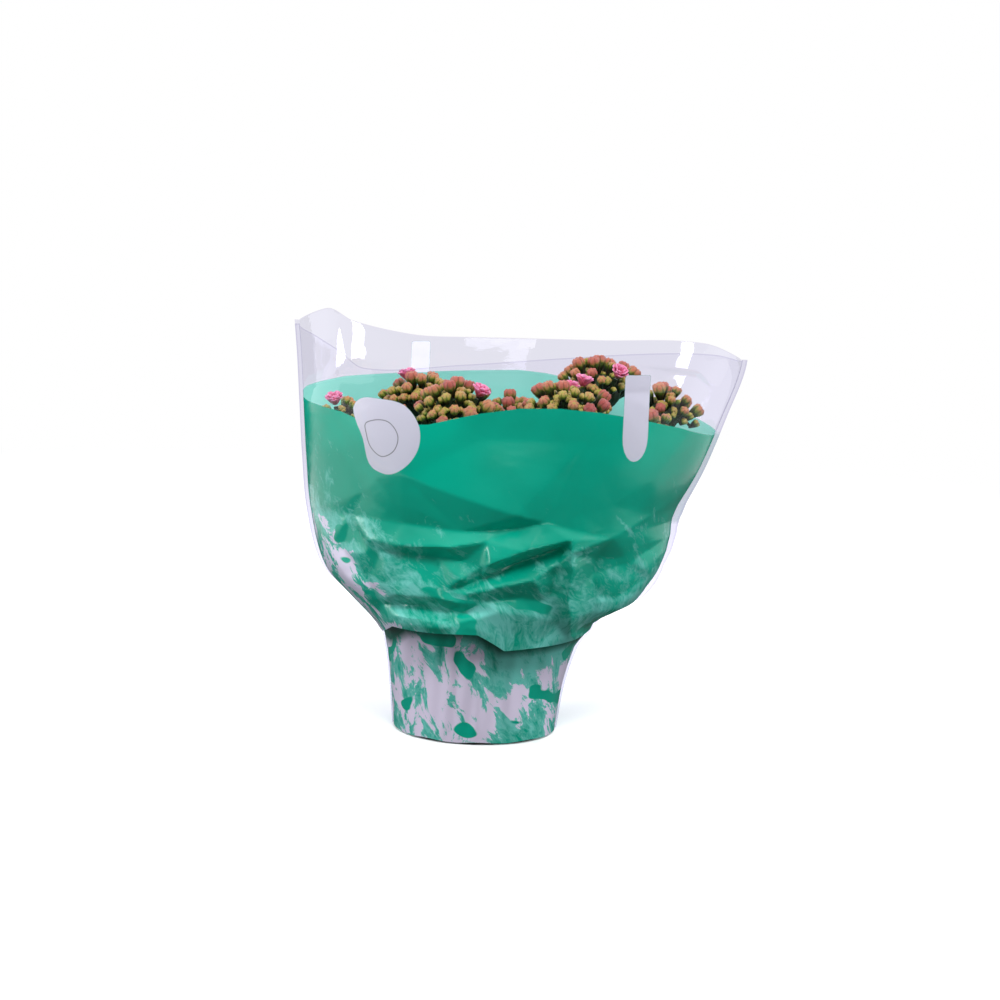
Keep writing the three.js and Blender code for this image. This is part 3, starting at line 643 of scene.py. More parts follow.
# %% The print's colours
# the darkest teal is painted shade: it is laid on the film just under the pleat's lip
INK, INK_DEEP, UNDER_LIP_SHADE, INSIDE = "#00AA8E", "#009A80", "#0A5F50", "#AEEADF"
HAZE, MARBLE, LABEL, LABEL_INSIDE, RULED = "#6CC6BB", "#E2D9EF", "#C8C7D6", "#EDECF5", "#77777F"
# the marbling's streaks, the plain islands and the ink's soft clouds, mm; the streaks' lean in
# radians, and how much finer the veil's threads are
STREAK = {"length": 27, "width": 14, "lean": 0.93, "threads": 3.1}
ISLAND = {"length": 30, "width": 16}
CLOUD = 60
# noise on the flat film, and how ragged its edges are
FLAT = {"noise_dimensions": "2D"}
RAGGED, THREADED = {"Detail": 9, "Roughness": 0.66}, {"Detail": 8, "Roughness": 0.68}


def marbled(m, flat):
    """How white the print is and how much veil it has, where the islands leave it marbled."""
    turned = add_node(m, "Mapping", Vector=flat, Rotation=(0, 0, STREAK["lean"]))
    streaks = add_node(m, "Mapping", Vector=turned, Scale=(1 / STREAK["length"], 1 / STREAK["width"], 1))
    field = add_node(m, "TexNoise", **FLAT, **RAGGED, Vector=streaks, Scale=1, Distortion=0.35)
    fine = {"Scale": STREAK["threads"], "Distortion": 0.9}
    threads = add_node(m, "TexNoise", **FLAT, **THREADED, Vector=streaks, **fine)
    spots = add_node(m, "Mapping", Vector=flat, Scale=(1 / ISLAND["length"], 1 / ISLAND["width"], 1))
    islands = add_node(m, "TexNoise", **FLAT, Vector=spots, Scale=1, Detail=1, Roughness=0.4)
    plain = add_node(m, "MapRange", Value=islands, From_Min=0.675, From_Max=0.655)
    marbling = add_node(m, "Attribute", "Fac", attribute_name="marbling")
    lifted = add_node(m, "Math", operation="MULTIPLY_ADD", _0=marbling, _1=0.2, _2=field)
    white = add_node(m, "MapRange", Value=lifted, From_Min=0.68, From_Max=0.715, To_Max=plain)
    veil = add_node(m, "Attribute", "Fac", attribute_name="veil")
    drawn = add_node(m, "Math", operation="MULTIPLY_ADD", _0=threads, _1=0.6, _2=field)
    drawn = add_node(m, "Math", operation="MULTIPLY_ADD", _0=veil, _1=0.14, _2=drawn)
    return white, add_node(m, "MapRange", Value=drawn, From_Min=0.79, From_Max=1.03, To_Max=plain)


def print_color(m):
    """The colour of the ink: clouded teal, the veil, the white, and painted shade in dark teal under the
    lip.
    """
    flat = add_node(m, "UVMap", uv_map="flat_film")
    white, veiled = marbled(m, flat)
    broad = add_node(m, "TexNoise", **FLAT, Vector=flat, Scale=1 / CLOUD, Detail=2)
    ink = add_node(m, "ValToRGB", Fac=broad, stops=[(0.35, INK_DEEP), (0.65, INK)])
    hazy = add_node(m, "Mix", 2, data_type="RGBA", _0=veiled, _6=ink, _7=linear(HAZE))
    marble = add_node(m, "Mix", 2, data_type="RGBA", _0=white, _6=hazy, _7=linear(MARBLE))
    # painted shade: the ink turns dark teal just under the pleat's lip
    folded = add_node(m, "Attribute", "Fac", attribute_name="folded")
    return add_node(m, "Mix", 2, data_type="RGBA", _0=folded, _6=marble, _7=linear(UNDER_LIP_SHADE))


print("marbling's streaks, mm:", STREAK["length"], "by", STREAK["width"])

# %% [markdown]
# Ink lies on the film's inner face over a white backing. From outside it gives the eye a deep,
# glossy teal; from inside it is paler, and light comes through it. The labels are plain white ink.
# Print and bare film meet in a sharp line, drawn where the values on the film's points pass nought.


# %% Inked film
# the share of light that comes through the print seen from outside, and how much more from inside
THROUGH = {"outside": 0.18, "more_inside": 0.35}
# seen from inside, this share of the ink's colour is that of its white backing
BACKING = 0.52
# the film's fine wrinkles: how far apart and how tall they are, mm
WRINKLE = {"apart": 14, "tall": 0.6}


def labelled(m, inner):
    """The print's colour with the labels laid over it, and where the labels are."""
    near_label = add_node(m, "Attribute", "Fac", attribute_name="label")
    label = add_node(m, "MapRange", Value=near_label, From_Min=0.2, From_Max=-0.2)
    near_ring = add_node(m, "Attribute", "Fac", attribute_name="ring")
    near_ring = add_node(m, "Math", operation="ABSOLUTE", _0=near_ring)
    ring = add_node(m, "MapRange", Value=near_ring, From_Min=0.4, From_Max=0.1)
    backed = add_node(m, "Math", operation="MULTIPLY", _0=inner, _1=BACKING)
    color = add_node(m, "Mix", 2, data_type="RGBA", _0=backed, _6=print_color(m), _7=linear(INSIDE))
    white = add_node(m, "Mix", 2, data_type="RGBA", _0=inner, _6=linear(LABEL), _7=linear(LABEL_INSIDE))
    color = add_node(m, "Mix", 2, data_type="RGBA", _0=label, _6=color, _7=white)
    return add_node(m, "Mix", 2, data_type="RGBA", _0=ring, _6=color, _7=linear(RULED)), label


def where_printed(m, label):
    height = add_node(m, "Attribute", "Fac", attribute_name="above_print")
    below = add_node(m, "MapRange", Value=height, From_Min=0.3, From_Max=-0.3)
    below = add_node(m, "Math", operation="MAXIMUM", _0=below, _1=label)
    within = add_node(m, "Attribute", "Fac", attribute_name="inside_print")
    within = add_node(m, "MapRange", Value=within, From_Min=-0.3, From_Max=0.3)
    return add_node(m, "Math", operation="MULTIPLY", _0=within, _1=below)


def inked_film(m, color, inner, wrinkles):
    bump = add_node(m, "Bump", Strength=0.35, Distance=WRINKLE["tall"] * MM, Height=wrinkles)
    gloss = add_node(m, "BsdfPrincipled", Base_Color=color, Roughness=0.22, IOR=1.5, Normal=bump)
    bright = (1.6, 1.6, 1.6, 1)
    through = add_node(m, "Mix", 2, data_type="RGBA", blend_type="MULTIPLY", _0=1.0, _6=color, _7=bright)
    glow = add_node(m, "BsdfTranslucent", Color=through)
    outside, more = THROUGH["outside"], THROUGH["more_inside"]
    share = add_node(m, "Math", operation="MULTIPLY_ADD", _0=inner, _1=more, _2=outside)
    return add_node(m, "MixShader", _0=share, _1=gloss, _2=glow)


print("share of light through the print:", THROUGH)

# %% [markdown]
# Bare film is almost clear. It gives the eye a faint grey-lavender tint and mirror-sharp streaks of
# light on its folds; the melted edge of a weld and the cut rim show as a thin, duller line. Real
# glass shading would bend what lies behind, so it is a tinted see-through with a little mirror.


# %% Clear film and the whole film
def bare_film(m, inner, wrinkles):
    calm = add_node(m, "Bump", Strength=0.12, Distance=WRINKLE["tall"] * MM, Height=wrinkles)
    tint = add_node(m, "Mix", 2, data_type="RGBA", _0=inner, _6=linear("#FAF9FE"), _7=linear("#E6E5F1"))
    to_edge = add_node(m, "Attribute", "Fac", attribute_name="to_edge")
    edge = add_node(m, "MapRange", Value=to_edge, From_Min=1.0, From_Max=0.3)
    tint = add_node(m, "Mix", 2, data_type="RGBA", _0=edge, _6=tint, _7=linear("#E6E4F0"))
    clear = add_node(m, "BsdfTransparent", Color=tint)
    bright = {"Base_Color": linear("#F6F5FC"), "Metallic": 1.0, "Roughness": 0.04}
    skin = add_node(m, "BsdfPrincipled", Normal=calm, **bright)
    facing = add_node(m, "Fresnel", IOR=1.5, Normal=calm)
    most = add_node(m, "MapRange", Value=edge, To_Min=0.085, To_Max=0.01)
    mirror = add_node(m, "MapRange", Value=facing, From_Min=0.0, From_Max=0.12, To_Max=most)
    return add_node(m, "MixShader", _0=mirror, _1=clear, _2=skin)


def film_material():
    m = new_material("printed polypropylene film")
    inner = add_node(m, "NewGeometry", "Backfacing")
    flat = add_node(m, "UVMap", uv_map="flat_film")
    soft = {"Scale": 1 / WRINKLE["apart"], "Detail": 3, "Roughness": 0.5}
    wrinkles = add_node(m, "TexNoise", **FLAT, Vector=flat, **soft)
    color, label = labelled(m, inner)
    inked, bare = inked_film(m, color, inner, wrinkles), bare_film(m, inner, wrinkles)
    film_shader = add_node(m, "MixShader", _0=where_printed(m, label), _1=bare, _2=inked)
    add_node(m, "OutputMaterial", Surface=film_shader)
    return m


film_finish = film_material()
for piece in film.values():
    piece.data.materials.append(film_finish)
print("material:", film_finish.name, "nodes:", len(film_finish.node_tree.nodes))

# %% [markdown]
# The plant has nine flowering stems, spread like a fan from below the soil. The frame's source
# places them by a few rules and a seeded stream of numbers. The same rules are repeated here, so
# that every fine leaf and bud lies where its solid does. Each head has its own share of the room,
# out to the plane that lies fairly between two neighbours.

# %% Where the stems and heads stand
# x and y in plan, top of the dome, radius, all mm
HEADS = [
    (-37, 28, 199, 26),
    (-15, -31, 200, 28),
    (63, 26, 211, 27),
    (45, -31, 204, 28),
    (98, 2, 199, 19),
    (-79, -5, 188, 16),
    (15, 45, 185, 24),
    (91, -38, 189, 17),
    (-56, -37, 186, 18),
]
# the height that the stems fan out from, and the height that the table above is read at, mm
CROWN, SPREAD_AT = 53, 170
# a head's depth, mm, of which it has one share anyway and the rest by its radius; the dome's fall to
# its edge as a share of the radius, the outer buds' lean in radians, and the room for a bud, mm²
HEAD = {"depth": 46, "shares": (0.55, 0.45), "largest": 28, "dome": 0.62, "splay": 1.05, "bud_area": 66}
GOLDEN = math.pi * (3 - math.sqrt(5))


def stream(seed):
    """One seeded stream of numbers from 0 to 1."""
    state = [seed]

    def draw():
        state[0] = (state[0] * 1664525 + 1013904223) % 4294967296
        return state[0] / 4294967296

    return draw


def fan(z):
    return (z - CROWN) / (SPREAD_AT - CROWN)


def stem_at(k, z):
    return np.array([HEADS[k][0] * fan(z), HEADS[k][1] * fan(z), z])


def head_base(k):
    anyway, by_radius = HEAD["shares"]
    return HEADS[k][2] - HEAD["depth"] * (anyway + by_radius * HEADS[k][3] / HEAD["largest"])


def inside_sleeve(points):
    """How far inside the film each point lies."""
    left, right, front, back = section(points[..., 2])[:4]
    half = (right - left) / 2
    depth = np.where(points[..., 1] < 0, front, back)
    out = np.hypot((points[..., 0] - (left + right) / 2) / half, points[..., 1] / depth)
    return (1 - out) * np.minimum(half, depth)


def beyond(points, spread, head):
    """The square of the distance to a head's middle, less that of its radius."""
    return (points[..., 0] / spread - head[0]) ** 2 + (points[..., 1] / spread - head[1]) ** 2 - head[3] ** 2


def territory(k, points, spread):
    """How far inside its own stem's share of the room each point lies."""
    own, gaps = HEADS[k], []
    for other in HEADS[:k] + HEADS[k + 1 :]:
        apart = math.hypot(other[0] - own[0], other[1] - own[1])
        gaps.append((beyond(points, spread, other) - beyond(points, spread, own)) / (2 * apart) * spread)
    return np.min(gaps, 0)


print("head bases, mm:", [round(head_base(k)) for k in range(len(HEADS))])

# %% [markdown]
# Kalanchoe leaves stand in crossed pairs. Each is an oval on a short stalk, thick and waxy, with
# scalloped edges and a sunk midrib. In a tight sleeve a leaf can't grow as it likes. So many leaves
# of other sizes, lifts and turns are tried at each place, first those that show most. One function
# gives the points of them all at once, because numpy can take a whole column of tries.

# %% Leaves to try
# the largest leaf, the number of pairs and their heights, and how far apart a pair's leaves stand, mm
LEAF = {"length": 56, "width": 34, "thick": 1.1, "pairs": 3, "lowest": 104, "step": 12, "stagger": 3}
# a leaf bends up by so many degrees times the softness, and its edges rise by a share of its width
BEND = {"degrees": 34, "softness": 0.6, "cup": 0.16}
# the room left to the film, to a leaf, below a head and below its dome, mm; a head's underside is a
# cone of this slope, wider than the head by its skirt, mm
CLEAR_OF = {"film": 6, "leaf": 4.5, "head": 7, "dome": 16, "slope": 1.1, "skirt": 9}
# half widths at seven places along a leaf, as shares of the widest
LEAF_OUTLINE = [0.14, 0.55, 0.95, 0.82, 1, 0.74, 0.4]


def every(*choices):
    """Each combination of the choices, as one flat array for each choice."""
    return [values.ravel() for values in np.meshgrid(*choices, indexing="ij")]


# what is tried: a leaf's size and slimness, its lift in degrees and its turn aside in radians
SIZE, SLIM, LIFT, ASIDE = every(
    [1, 0.9, 0.8, 0.7, 0.6, 0.5, 0.4],
    [1, 0.85, 0.7, 0.55],
    [2, 14, 26, 38, 50, 62],
    [0, -0.25, 0.25, -0.5, 0.5, -0.75, 0.75],
)
# a flat leaf shows most, an upright one least, and one that is turned aside loses a little
SHOWN = SIZE * SLIM * (0.45 + 0.65 * np.cos(np.radians(LIFT))) - 0.02 * np.abs(ASIDE)
BEST_FIRST = np.argsort(-SHOWN, kind="stable")


def leaf_point(leaf, s, t, outline):
    """Points of leaves that lie t along and s across. Every argument may be an array."""
    rise = np.radians(leaf["lift"] + BEND["degrees"] * t * BEND["softness"])
    reach = leaf["length"] * t * np.cos(rise)
    climb = leaf["length"] * t * np.sin(rise)
    half = leaf["width"] / 2 * leaf["slim"] * outline
    cup = BEND["cup"] * np.abs(s) * half
    out = reach - cup * np.sin(rise)
    x = leaf["foot"][0] + np.cos(leaf["turn"]) * out - np.sin(leaf["turn"]) * s * half
    y = leaf["foot"][1] + np.sin(leaf["turn"]) * out + np.cos(leaf["turn"]) * s * half
    return np.stack(np.broadcast_arrays(x, y, leaf["foot"][2] + climb + cup * np.cos(rise)), -1)


def tries_at(k, pair, side, start, grown):
    """Every leaf that could grow there; what varies is a column with a row for each try."""
    return {
        "foot": stem_at(k, LEAF["lowest"] + pair * LEAF["step"] + side * LEAF["stagger"]),
        "turn": (start + pair * math.pi / 2 + side * math.pi + ASIDE)[:, None],
        "lift": LIFT[:, None],
        "slim": (SLIM * SIZE**0.2)[:, None],
        "length": (LEAF["length"] * grown * SIZE)[:, None],
        "width": LEAF["width"] * grown,
    }


print("tries for each leaf:", len(SHOWN))

# %% [markdown]
# A leaf bends to the room it has. The first try that keeps clear of the film, the heads, the other
# stems' share of the room and the leaves already there is taken. Placing fifty leaves by hand would
# take longer and clash somewhere.


# %% Find each leaf's room
def clashes(k, points):
    """Whether each try leaves its stem's share of the room, or meets the film or a head."""
    hx, hy, top, radius = HEADS[k]
    z = points[..., 2]
    from_stem = np.hypot(points[..., 0] - hx * fan(z), points[..., 1] - hy * fan(z))
    clash = territory(k, points, fan(z)) < LEAF["thick"]
    clash |= inside_sleeve(points) < CLEAR_OF["film"]
    underside = head_base(k) - CLEAR_OF["head"] + from_stem * CLEAR_OF["slope"]
    clash |= (z > underside) & (from_stem < radius + CLEAR_OF["skirt"])
    return (clash | (z > top - CLEAR_OF["dome"])).any(1)


def least_gap(points, others):
    return np.linalg.norm(points[:, None] - others, axis=-1).min()


def leaves_of(k):
    draw = stream(17 + k * 101)
    start = math.atan2(HEADS[k][1], HEADS[k][0]) + (draw() - 0.5) * 0.6
    t, s = every(np.arange(3, 11) / 10, [-1, -0.5, 0, 0.5, 1])
    outline = np.interp(t * 6, range(7), LEAF_OUTLINE)
    leaves = []
    for place in range(LEAF["pairs"] * 2):
        pair, side = divmod(place, 2)
        tries = tries_at(k, pair, side, start, 1 - 0.1 * pair + (draw() - 0.5) * 0.12)
        points = leaf_point(tries, s, t, outline)
        free = ~clashes(k, points)
        for i in BEST_FIRST[free[BEST_FIRST]]:
            if all(least_gap(points[i], other["points"]) >= CLEAR_OF["leaf"] for other in leaves):
                chosen = {key: value[i, 0] if np.ndim(value) == 2 else value for key, value in tries.items()}
                leaves.append({**chosen, "points": points[i]})
                break
    return leaves


all_leaves = [leaves_of(k) for k in range(len(HEADS))]
print("leaves on each stem:", [len(leaves) for leaves in all_leaves])

# %% [markdown]
# One leaf is a flat grid moved into shape, then thickened. A grid is the natural start, because
# its two directions become along and across the leaf. Both are kept on the vertices, so that the
# material can draw veins and a paler edge wherever the leaf lies.


# %% Leaf shape
# the scallops' depth as a share of the half width, and their number in radians along the leaf
TEETH = {"deep": 0.05, "radians": 23}
# how deep the midrib is sunk, mm, and how wide it is as a share of the half width
MIDRIB = {"deep": 0.9, "wide": 0.16}
# the blade's two soft waves, mm
BUCKLE = {"sides": 0.8, "middle": 0.5}


def join(bm, part):
    """Adds a finished part to the piece that it belongs to."""
    mesh = mesh_from("part", part)
    bm.from_mesh(mesh)
    bpy.data.meshes.remove(mesh)


def leaf_width(t):
    """A smooth oval on a short stalk; 1 at its widest."""
    stalk = 0.15 * (1 - np.clip((t - 0.05) / 0.2, 0, 1))
    blade = np.clip((t - 0.1) / 0.9, 0, 1)
    return stalk + np.sin(np.pi * blade**0.85) ** 0.62 * (t > 0.1)


def shaped_leaf(leaf, s, t):
    """The leaf's points with its teeth, its sunk midrib and a soft buckle."""
    scallops = np.abs(np.cos(t * TEETH["radians"])) * (t > 0.2) * (t < 0.93)
    teeth = 1 + TEETH["deep"] * np.abs(s) ** 3 * scallops
    points = leaf_point(leaf, s, t, leaf_width(t) * teeth)
    blade = (t > 0.1) * np.clip((1 - t) * 4, 0, 1)
    points[:, 2] -= MIDRIB["deep"] * np.exp(-((s / MIDRIB["wide"]) ** 2)) * blade
    points[:, 2] += BUCKLE["sides"] * np.sin(t * 9 + leaf["turn"] * 3) * s
    points[:, 2] += BUCKLE["middle"] * np.sin(s * 4 + t * 5)
    return points


def add_leaf(bm, leaf, shade):
    part = bmesh.new()
    bmesh.ops.create_grid(part, x_segments=10, y_segments=26, size=0.5)
    layers = [part.verts.layers.float.new(name) for name in ("across", "along", "tint")]
    part.verts.ensure_lookup_table()
    flat = np.array([v.co for v in part.verts])
    s, t = flat[:, 0] * 2, np.clip(flat[:, 1] + 0.5, 0.004, 0.996)
    for v, point, *values in zip(part.verts, shaped_leaf(leaf, s, t), s, t, np.full_like(s, shade)):
        v.co = point * MM
        for layer, value in zip(layers, values):
            v[layer] = value
    part.normal_update()
    bmesh.ops.solidify(part, geom=part.faces[:], thickness=-LEAF["thick"] * MM)
    join(bm, part)


print("leaf's half width along it:", leaf_width(np.linspace(0, 1, 6)).round(2).tolist())

# %% [markdown]
# Stems and stalks are round and bend softly. A curve with a round bevel makes them: a few points
# with a place and a thickness each. Every finished piece then takes what it is made of, rides on
# the body that it belongs to, and hides the frame's solids that it stands for.


# %% Stalks and finished pieces
def add_stalks(bm, paths, slot, resolution=2):
    """Round stalks along smooth paths: each path is a list of (point in mm, radius in mm)."""
    curve = bpy.data.curves.new("stalks", "CURVE")
    curve.dimensions = "3D"
    curve.bevel_depth, curve.bevel_resolution = MM, resolution
    curve.resolution_u, curve.use_fill_caps = 3, True
    for path in paths:
        spline = curve.splines.new("BEZIER")
        spline.bezier_points.add(len(path) - 1)
        for point, (place, radius) in zip(spline.bezier_points, path):
            point.co = Vector(place) * MM
            point.radius = radius
            point.handle_left_type = point.handle_right_type = "AUTO"
    holder = bpy.data.objects.new("stalks", curve)
    mesh = bpy.data.meshes.new_from_object(holder)
    for polygon in mesh.polygons:
        polygon.material_index = slot
    bm.from_mesh(mesh)
    bpy.data.objects.remove(holder)
    bpy.data.curves.remove(curve)
    bpy.data.meshes.remove(mesh)


def make_piece(name, bm, materials, nodes):
    """A finished piece, what it is made of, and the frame's nodes it stands for."""
    mesh = mesh_from(name, bm)
    mesh.shade_smooth()
    for material in materials:
        mesh.materials.append(material)
    piece = add_object(name, mesh)
    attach(piece, "root")
    if nodes:
        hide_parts(*nodes)
    return piece


print("pieces so far:", [piece.name for piece in film.values()])

# %% [markdown]
# The leaf is fleshy and waxy. It gives the eye a dark green with a soft sheen, paler along the
# veins and the edge. The veins are stripes that lean from the midrib out to the edge. A pattern's
# scale is one over its size, so the sizes are named in millimetres and turned to metres.

# %% Leaf material
# the mottle's size and the height of the veins, mm; the veins' number and lean in radians
LEAF_LOOK = {"mottle": 7.143, "tall": 0.3, "veins": 26.0, "lean": -7.0}


def leaf_material():
    m = new_material("waxy leaf")
    across = add_node(m, "Attribute", "Fac", attribute_name="across")
    along = add_node(m, "Attribute", "Fac", attribute_name="along")
    tint = add_node(m, "Attribute", "Fac", attribute_name="tint")
    side = add_node(m, "Math", operation="ABSOLUTE", _0=across)
    back = add_node(m, "Math", operation="MULTIPLY", _0=side, _1=LEAF_LOOK["lean"])
    slant = add_node(m, "Math", operation="MULTIPLY_ADD", _0=along, _1=LEAF_LOOK["veins"], _2=back)
    wave = add_node(m, "Math", operation="ABSOLUTE", _0=add_node(m, "Math", operation="SINE", _0=slant))
    veins = add_node(m, "Math", operation="POWER", _0=wave, _1=0.35)
    where = add_node(m, "TexCoord", "Object")
    mottle = add_node(m, "TexNoise", Vector=where, Scale=1 / (LEAF_LOOK["mottle"] * MM), Detail=4.0)
    shade = add_node(m, "Math", operation="MULTIPLY_ADD", _0=tint, _1=0.25, _2=mottle)
    body = add_node(m, "ValToRGB", Fac=shade, stops=[(0.3, "#23421C"), (0.55, "#36602A"), (0.8, "#557F3A")])
    pale = [(0, "#7FA45E"), (0.06, "#4C7A37"), (0.1, "#000000"), (0.9, "#000000"), (1, "#55722F")]
    edge = add_node(m, "ValToRGB", Fac=side, stops=pale)
    color = add_node(m, "Mix", 2, data_type="RGBA", blend_type="LIGHTEN", _0=1.0, _6=body, _7=edge)
    height = add_node(m, "Math", operation="MULTIPLY_ADD", _0=veins, _1=1.4, _2=mottle)
    bump = add_node(m, "Bump", Strength=0.5, Distance=LEAF_LOOK["tall"] * MM, Height=height)
    wax = add_node(m, "BsdfPrincipled", Base_Color=color, Roughness=0.38, IOR=1.45, Normal=bump)
    add_node(m, "OutputMaterial", Surface=wax)
    return m


leaf_green = leaf_material()
print("material:", leaf_green.name)

# %% [markdown]
# The stems and stalks give the eye a fresher green with fine streaks along them. Their green is
# painted dark all over, as painted shade for where the buds shade them.

# %% Stem material
# the streaks' width and height, mm, and how much longer than wide they are
STEM_LOOK = {"streak": 3.125, "tall": 0.4, "longer": 5}


def stem_material():
    m = new_material("green stem painted dark")
    where = add_node(m, "TexCoord", "Object")
    streaks = add_node(m, "Mapping", Vector=where, Scale=(1, 1, 1 / STEM_LOOK["longer"]))
    noise = add_node(m, "TexNoise", Vector=streaks, Scale=1 / (STEM_LOOK["streak"] * MM), Detail=3.0)
    # the dark stops are painted shade: the stems are made as dark as the gaps under the buds
    color = add_node(m, "ValToRGB", Fac=noise, stops=[(0.3, "#0F1C06"), (0.6, "#203611"), (0.85, "#4C642A")])
    bump = add_node(m, "Bump", Strength=0.3, Distance=STEM_LOOK["tall"] * MM, Height=noise)
    skin = add_node(m, "BsdfPrincipled", Base_Color=color, Roughness=0.5, IOR=1.45, Normal=bump)
    add_node(m, "OutputMaterial", Surface=skin)
    return m


stem_green_painted_dark = stem_material()
print("material:", stem_green_painted_dark.name)

# %% [markdown]
# A stem with its leaves is one piece, as it grew. The stem is a smooth tube that thins towards the
# branches of its flower head. Its foot stands in the soil.

# %% Build the leafy stems
# the height of the stem's foot and its radius at the foot and at the top, all mm, and its points
STEM = {"foot": 80, "low": 2.7, "top": 1.9, "points": 7}
for k, leaves in enumerate(all_leaves):
    bm = bmesh.new()
    for name in ("across", "along", "tint"):
        bm.verts.layers.float.new(name)
    draw = stream(5 + k)
    for leaf in leaves:
        add_leaf(bm, leaf, draw())
    heights_up = np.linspace(STEM["foot"], head_base(k), STEM["points"])
    thickness = np.linspace(STEM["low"], STEM["top"], STEM["points"])
    add_stalks(bm, [[(stem_at(k, z), thick) for z, thick in zip(heights_up, thickness)]], 1, 4)
    make_piece(f"leaves_{k + 1}", bm, [leaf_green, stem_green_painted_dark], [f"leafy_stem_{k + 1}"])
print("leafy stems:", len(all_leaves))

# %% [markdown]
# A head is a flat-topped bunch of buds. They are dealt out over its dome by the golden angle, two
# large ones to three small ones, and lean outwards towards its edge. Where two would touch, the
# smaller one shrinks. A few of them are open flowers.

# %% Where the buds stand
# a bud's width and length, by how much the buds' heights on the dome differ, and how far inside the
# head's edge the outermost ones stand, all mm
BUD = {"width": 7.8, "length": 9, "uneven": 3.2, "inset": 3}
# least and greatest size of the large and of the small buds, and the least that one may shrink to
LARGE, SMALL, LEAST = (0.95, 1.08), (0.62, 0.85), 0.5
# head and place in the dealing of each open flower
OPEN = [(0, 3), (1, 7), (2, 12), (3, 2), (3, 13), (5, 1), (8, 2)]
# an open flower's stalk, its room, the gap above its stalk and how deep it sits on it, all mm
FLOWER = {"stalk": 3, "room": 8.5, "gap": 0.3, "sits": 1}


def dome_at(k, share):
    return HEADS[k][2] - BUD["length"] - 1 - HEAD["dome"] * HEADS[k][3] * share**2


def bud_at(k, i, share, turn, draw):
    hx, hy, _, radius = HEADS[k]
    low, high = LARGE if i % 5 < 2 else SMALL
    size = low + (high - low) * draw()
    lift = (draw() - 0.5) * BUD["uneven"]
    r, lean = (radius - BUD["inset"]) * share, HEAD["splay"] * share
    place = np.array([hx + r * math.cos(turn), hy + r * math.sin(turn), dome_at(k, share) + lift])
    aim = np.array([math.sin(lean) * math.cos(turn), math.sin(lean) * math.sin(turn), math.cos(lean)])
    tip = place + aim * BUD["length"] * size
    return {"place": place, "aim": aim, "size": size, "share": share, "index": i, "tip": tip}


def middle_of(bud):
    return bud["place"] + 0.3 * BUD["length"] * bud["size"] * bud["aim"]


def buds_of(k):
    count = round(math.pi * HEADS[k][3] ** 2 / HEAD["bud_area"])
    draw = stream(7 + k * 31)
    start = draw() * math.pi * 2
    shares = [math.sqrt((i + 0.5) / count) for i in range(count)]
    buds = [bud_at(k, i, share, start + i * GOLDEN, draw) for i, share in enumerate(shares)]
    for i, bud in enumerate(buds):
        for other in buds[:i]:
            apart = np.linalg.norm(middle_of(bud) - middle_of(other)) / BUD["width"]
            excess = (bud["size"] + other["size"]) * 0.5 - apart
            smaller = bud if bud["size"] < other["size"] else other
            if excess > 0:
                smaller["size"] = max(smaller["size"] - 2 * excess, LEAST)
    return buds


all_buds = [buds_of(k) for k in range(len(HEADS))]
print("buds on each head:", [len(buds) for buds in all_buds])

# %% [markdown]
# A bud starts as a sphere. Its rings are moved to a profile: a narrow heel in its green cup, a
# round belly, and a crown where the petal tips close over a dimple. The older buds have six tips,
# the small young ones four. It is copied hundreds of times, so it keeps to a few dozen faces and
# carries its pattern as values on its vertices: how high up it they are, and whether on a petal's
# rib or in the seam between two.

# %% Bud shape
# a sphere's heights, and a bud's half width and height there, from its heel to the dimple between
# its petal tips; and about the whole height from the heel to the highest ring
BUD_UP = [-1, -0.9, -0.62, -0.22, 0.22, 0.62, 0.9, 1]
BUD_WIDE = [0, 0.3, 0.52, 0.8, 1.0, 0.98, 0.6, 0]
BUD_HIGH = [-1.9, -1.6, -1.1, -0.5, 0.0, 0.46, 0.78, 0.66]
BUD_TALL = 2.64
# above this height the ribs grow out of the cup; they lift the tips by this much
RIB = {"from": -0.3, "lift": 0.045}


def upright_to(aim):
    """The turn that points an upright shape along an aim."""
    return Vector(aim).to_track_quat("Z", "Y").to_matrix().to_4x4()


def bud_template(rounds, lobes, depth):
    """A bud with so many faces round it and so many petals, whose ribs stand out by a share."""
    bm = bmesh.new()
    bmesh.ops.create_uvsphere(bm, u_segments=rounds, v_segments=7, radius=1.0)
    layer, rib_layer = (bm.verts.layers.float.new(name) for name in ("up", "rib"))
    for v in bm.verts:
        up, angle = v.co.z, math.atan2(v.co.y, v.co.x)
        v[rib_layer] = rib = math.cos(lobes * angle) * (abs(up) < 0.99)
        ridge = rib * min(max(up - RIB["from"], 0), 1)
        wide, high = np.interp(up, BUD_UP, BUD_WIDE) * (1 + depth * ridge), np.interp(up, BUD_UP, BUD_HIGH)
        flat = max(math.hypot(v.co.x, v.co.y), 1e-6)
        v.co = (v.co.x / flat * wide, v.co.y / flat * wide, high + RIB["lift"] * ridge * (up > 0.5))
        v[layer] = (high - BUD_HIGH[0]) / BUD_TALL + 0.1 * ridge * (up > 0.1) - 0.2 * (up > 0.99)
    return mesh_from("bud_template", bm)


def add_bud(bm, template, place, aim, width, length, ripe, spin):
    layer = bm.verts.layers.float["ripe"]
    first = len(bm.verts)
    bm.from_mesh(template)
    bm.verts.ensure_lookup_table()
    new = bm.verts[first:]
    for v in new:
        v[layer] = ripe
    size = Matrix.Diagonal((width / 2 * MM, width / 2 * MM, length / 2 * MM, 1))
    place = Matrix.Translation((Vector(place) + Vector(aim) * length * 0.5) * MM)
    turn = upright_to(aim) @ Matrix.Rotation(spin, 4, "Z")
    bmesh.ops.transform(bm, matrix=place @ turn @ size, verts=new)


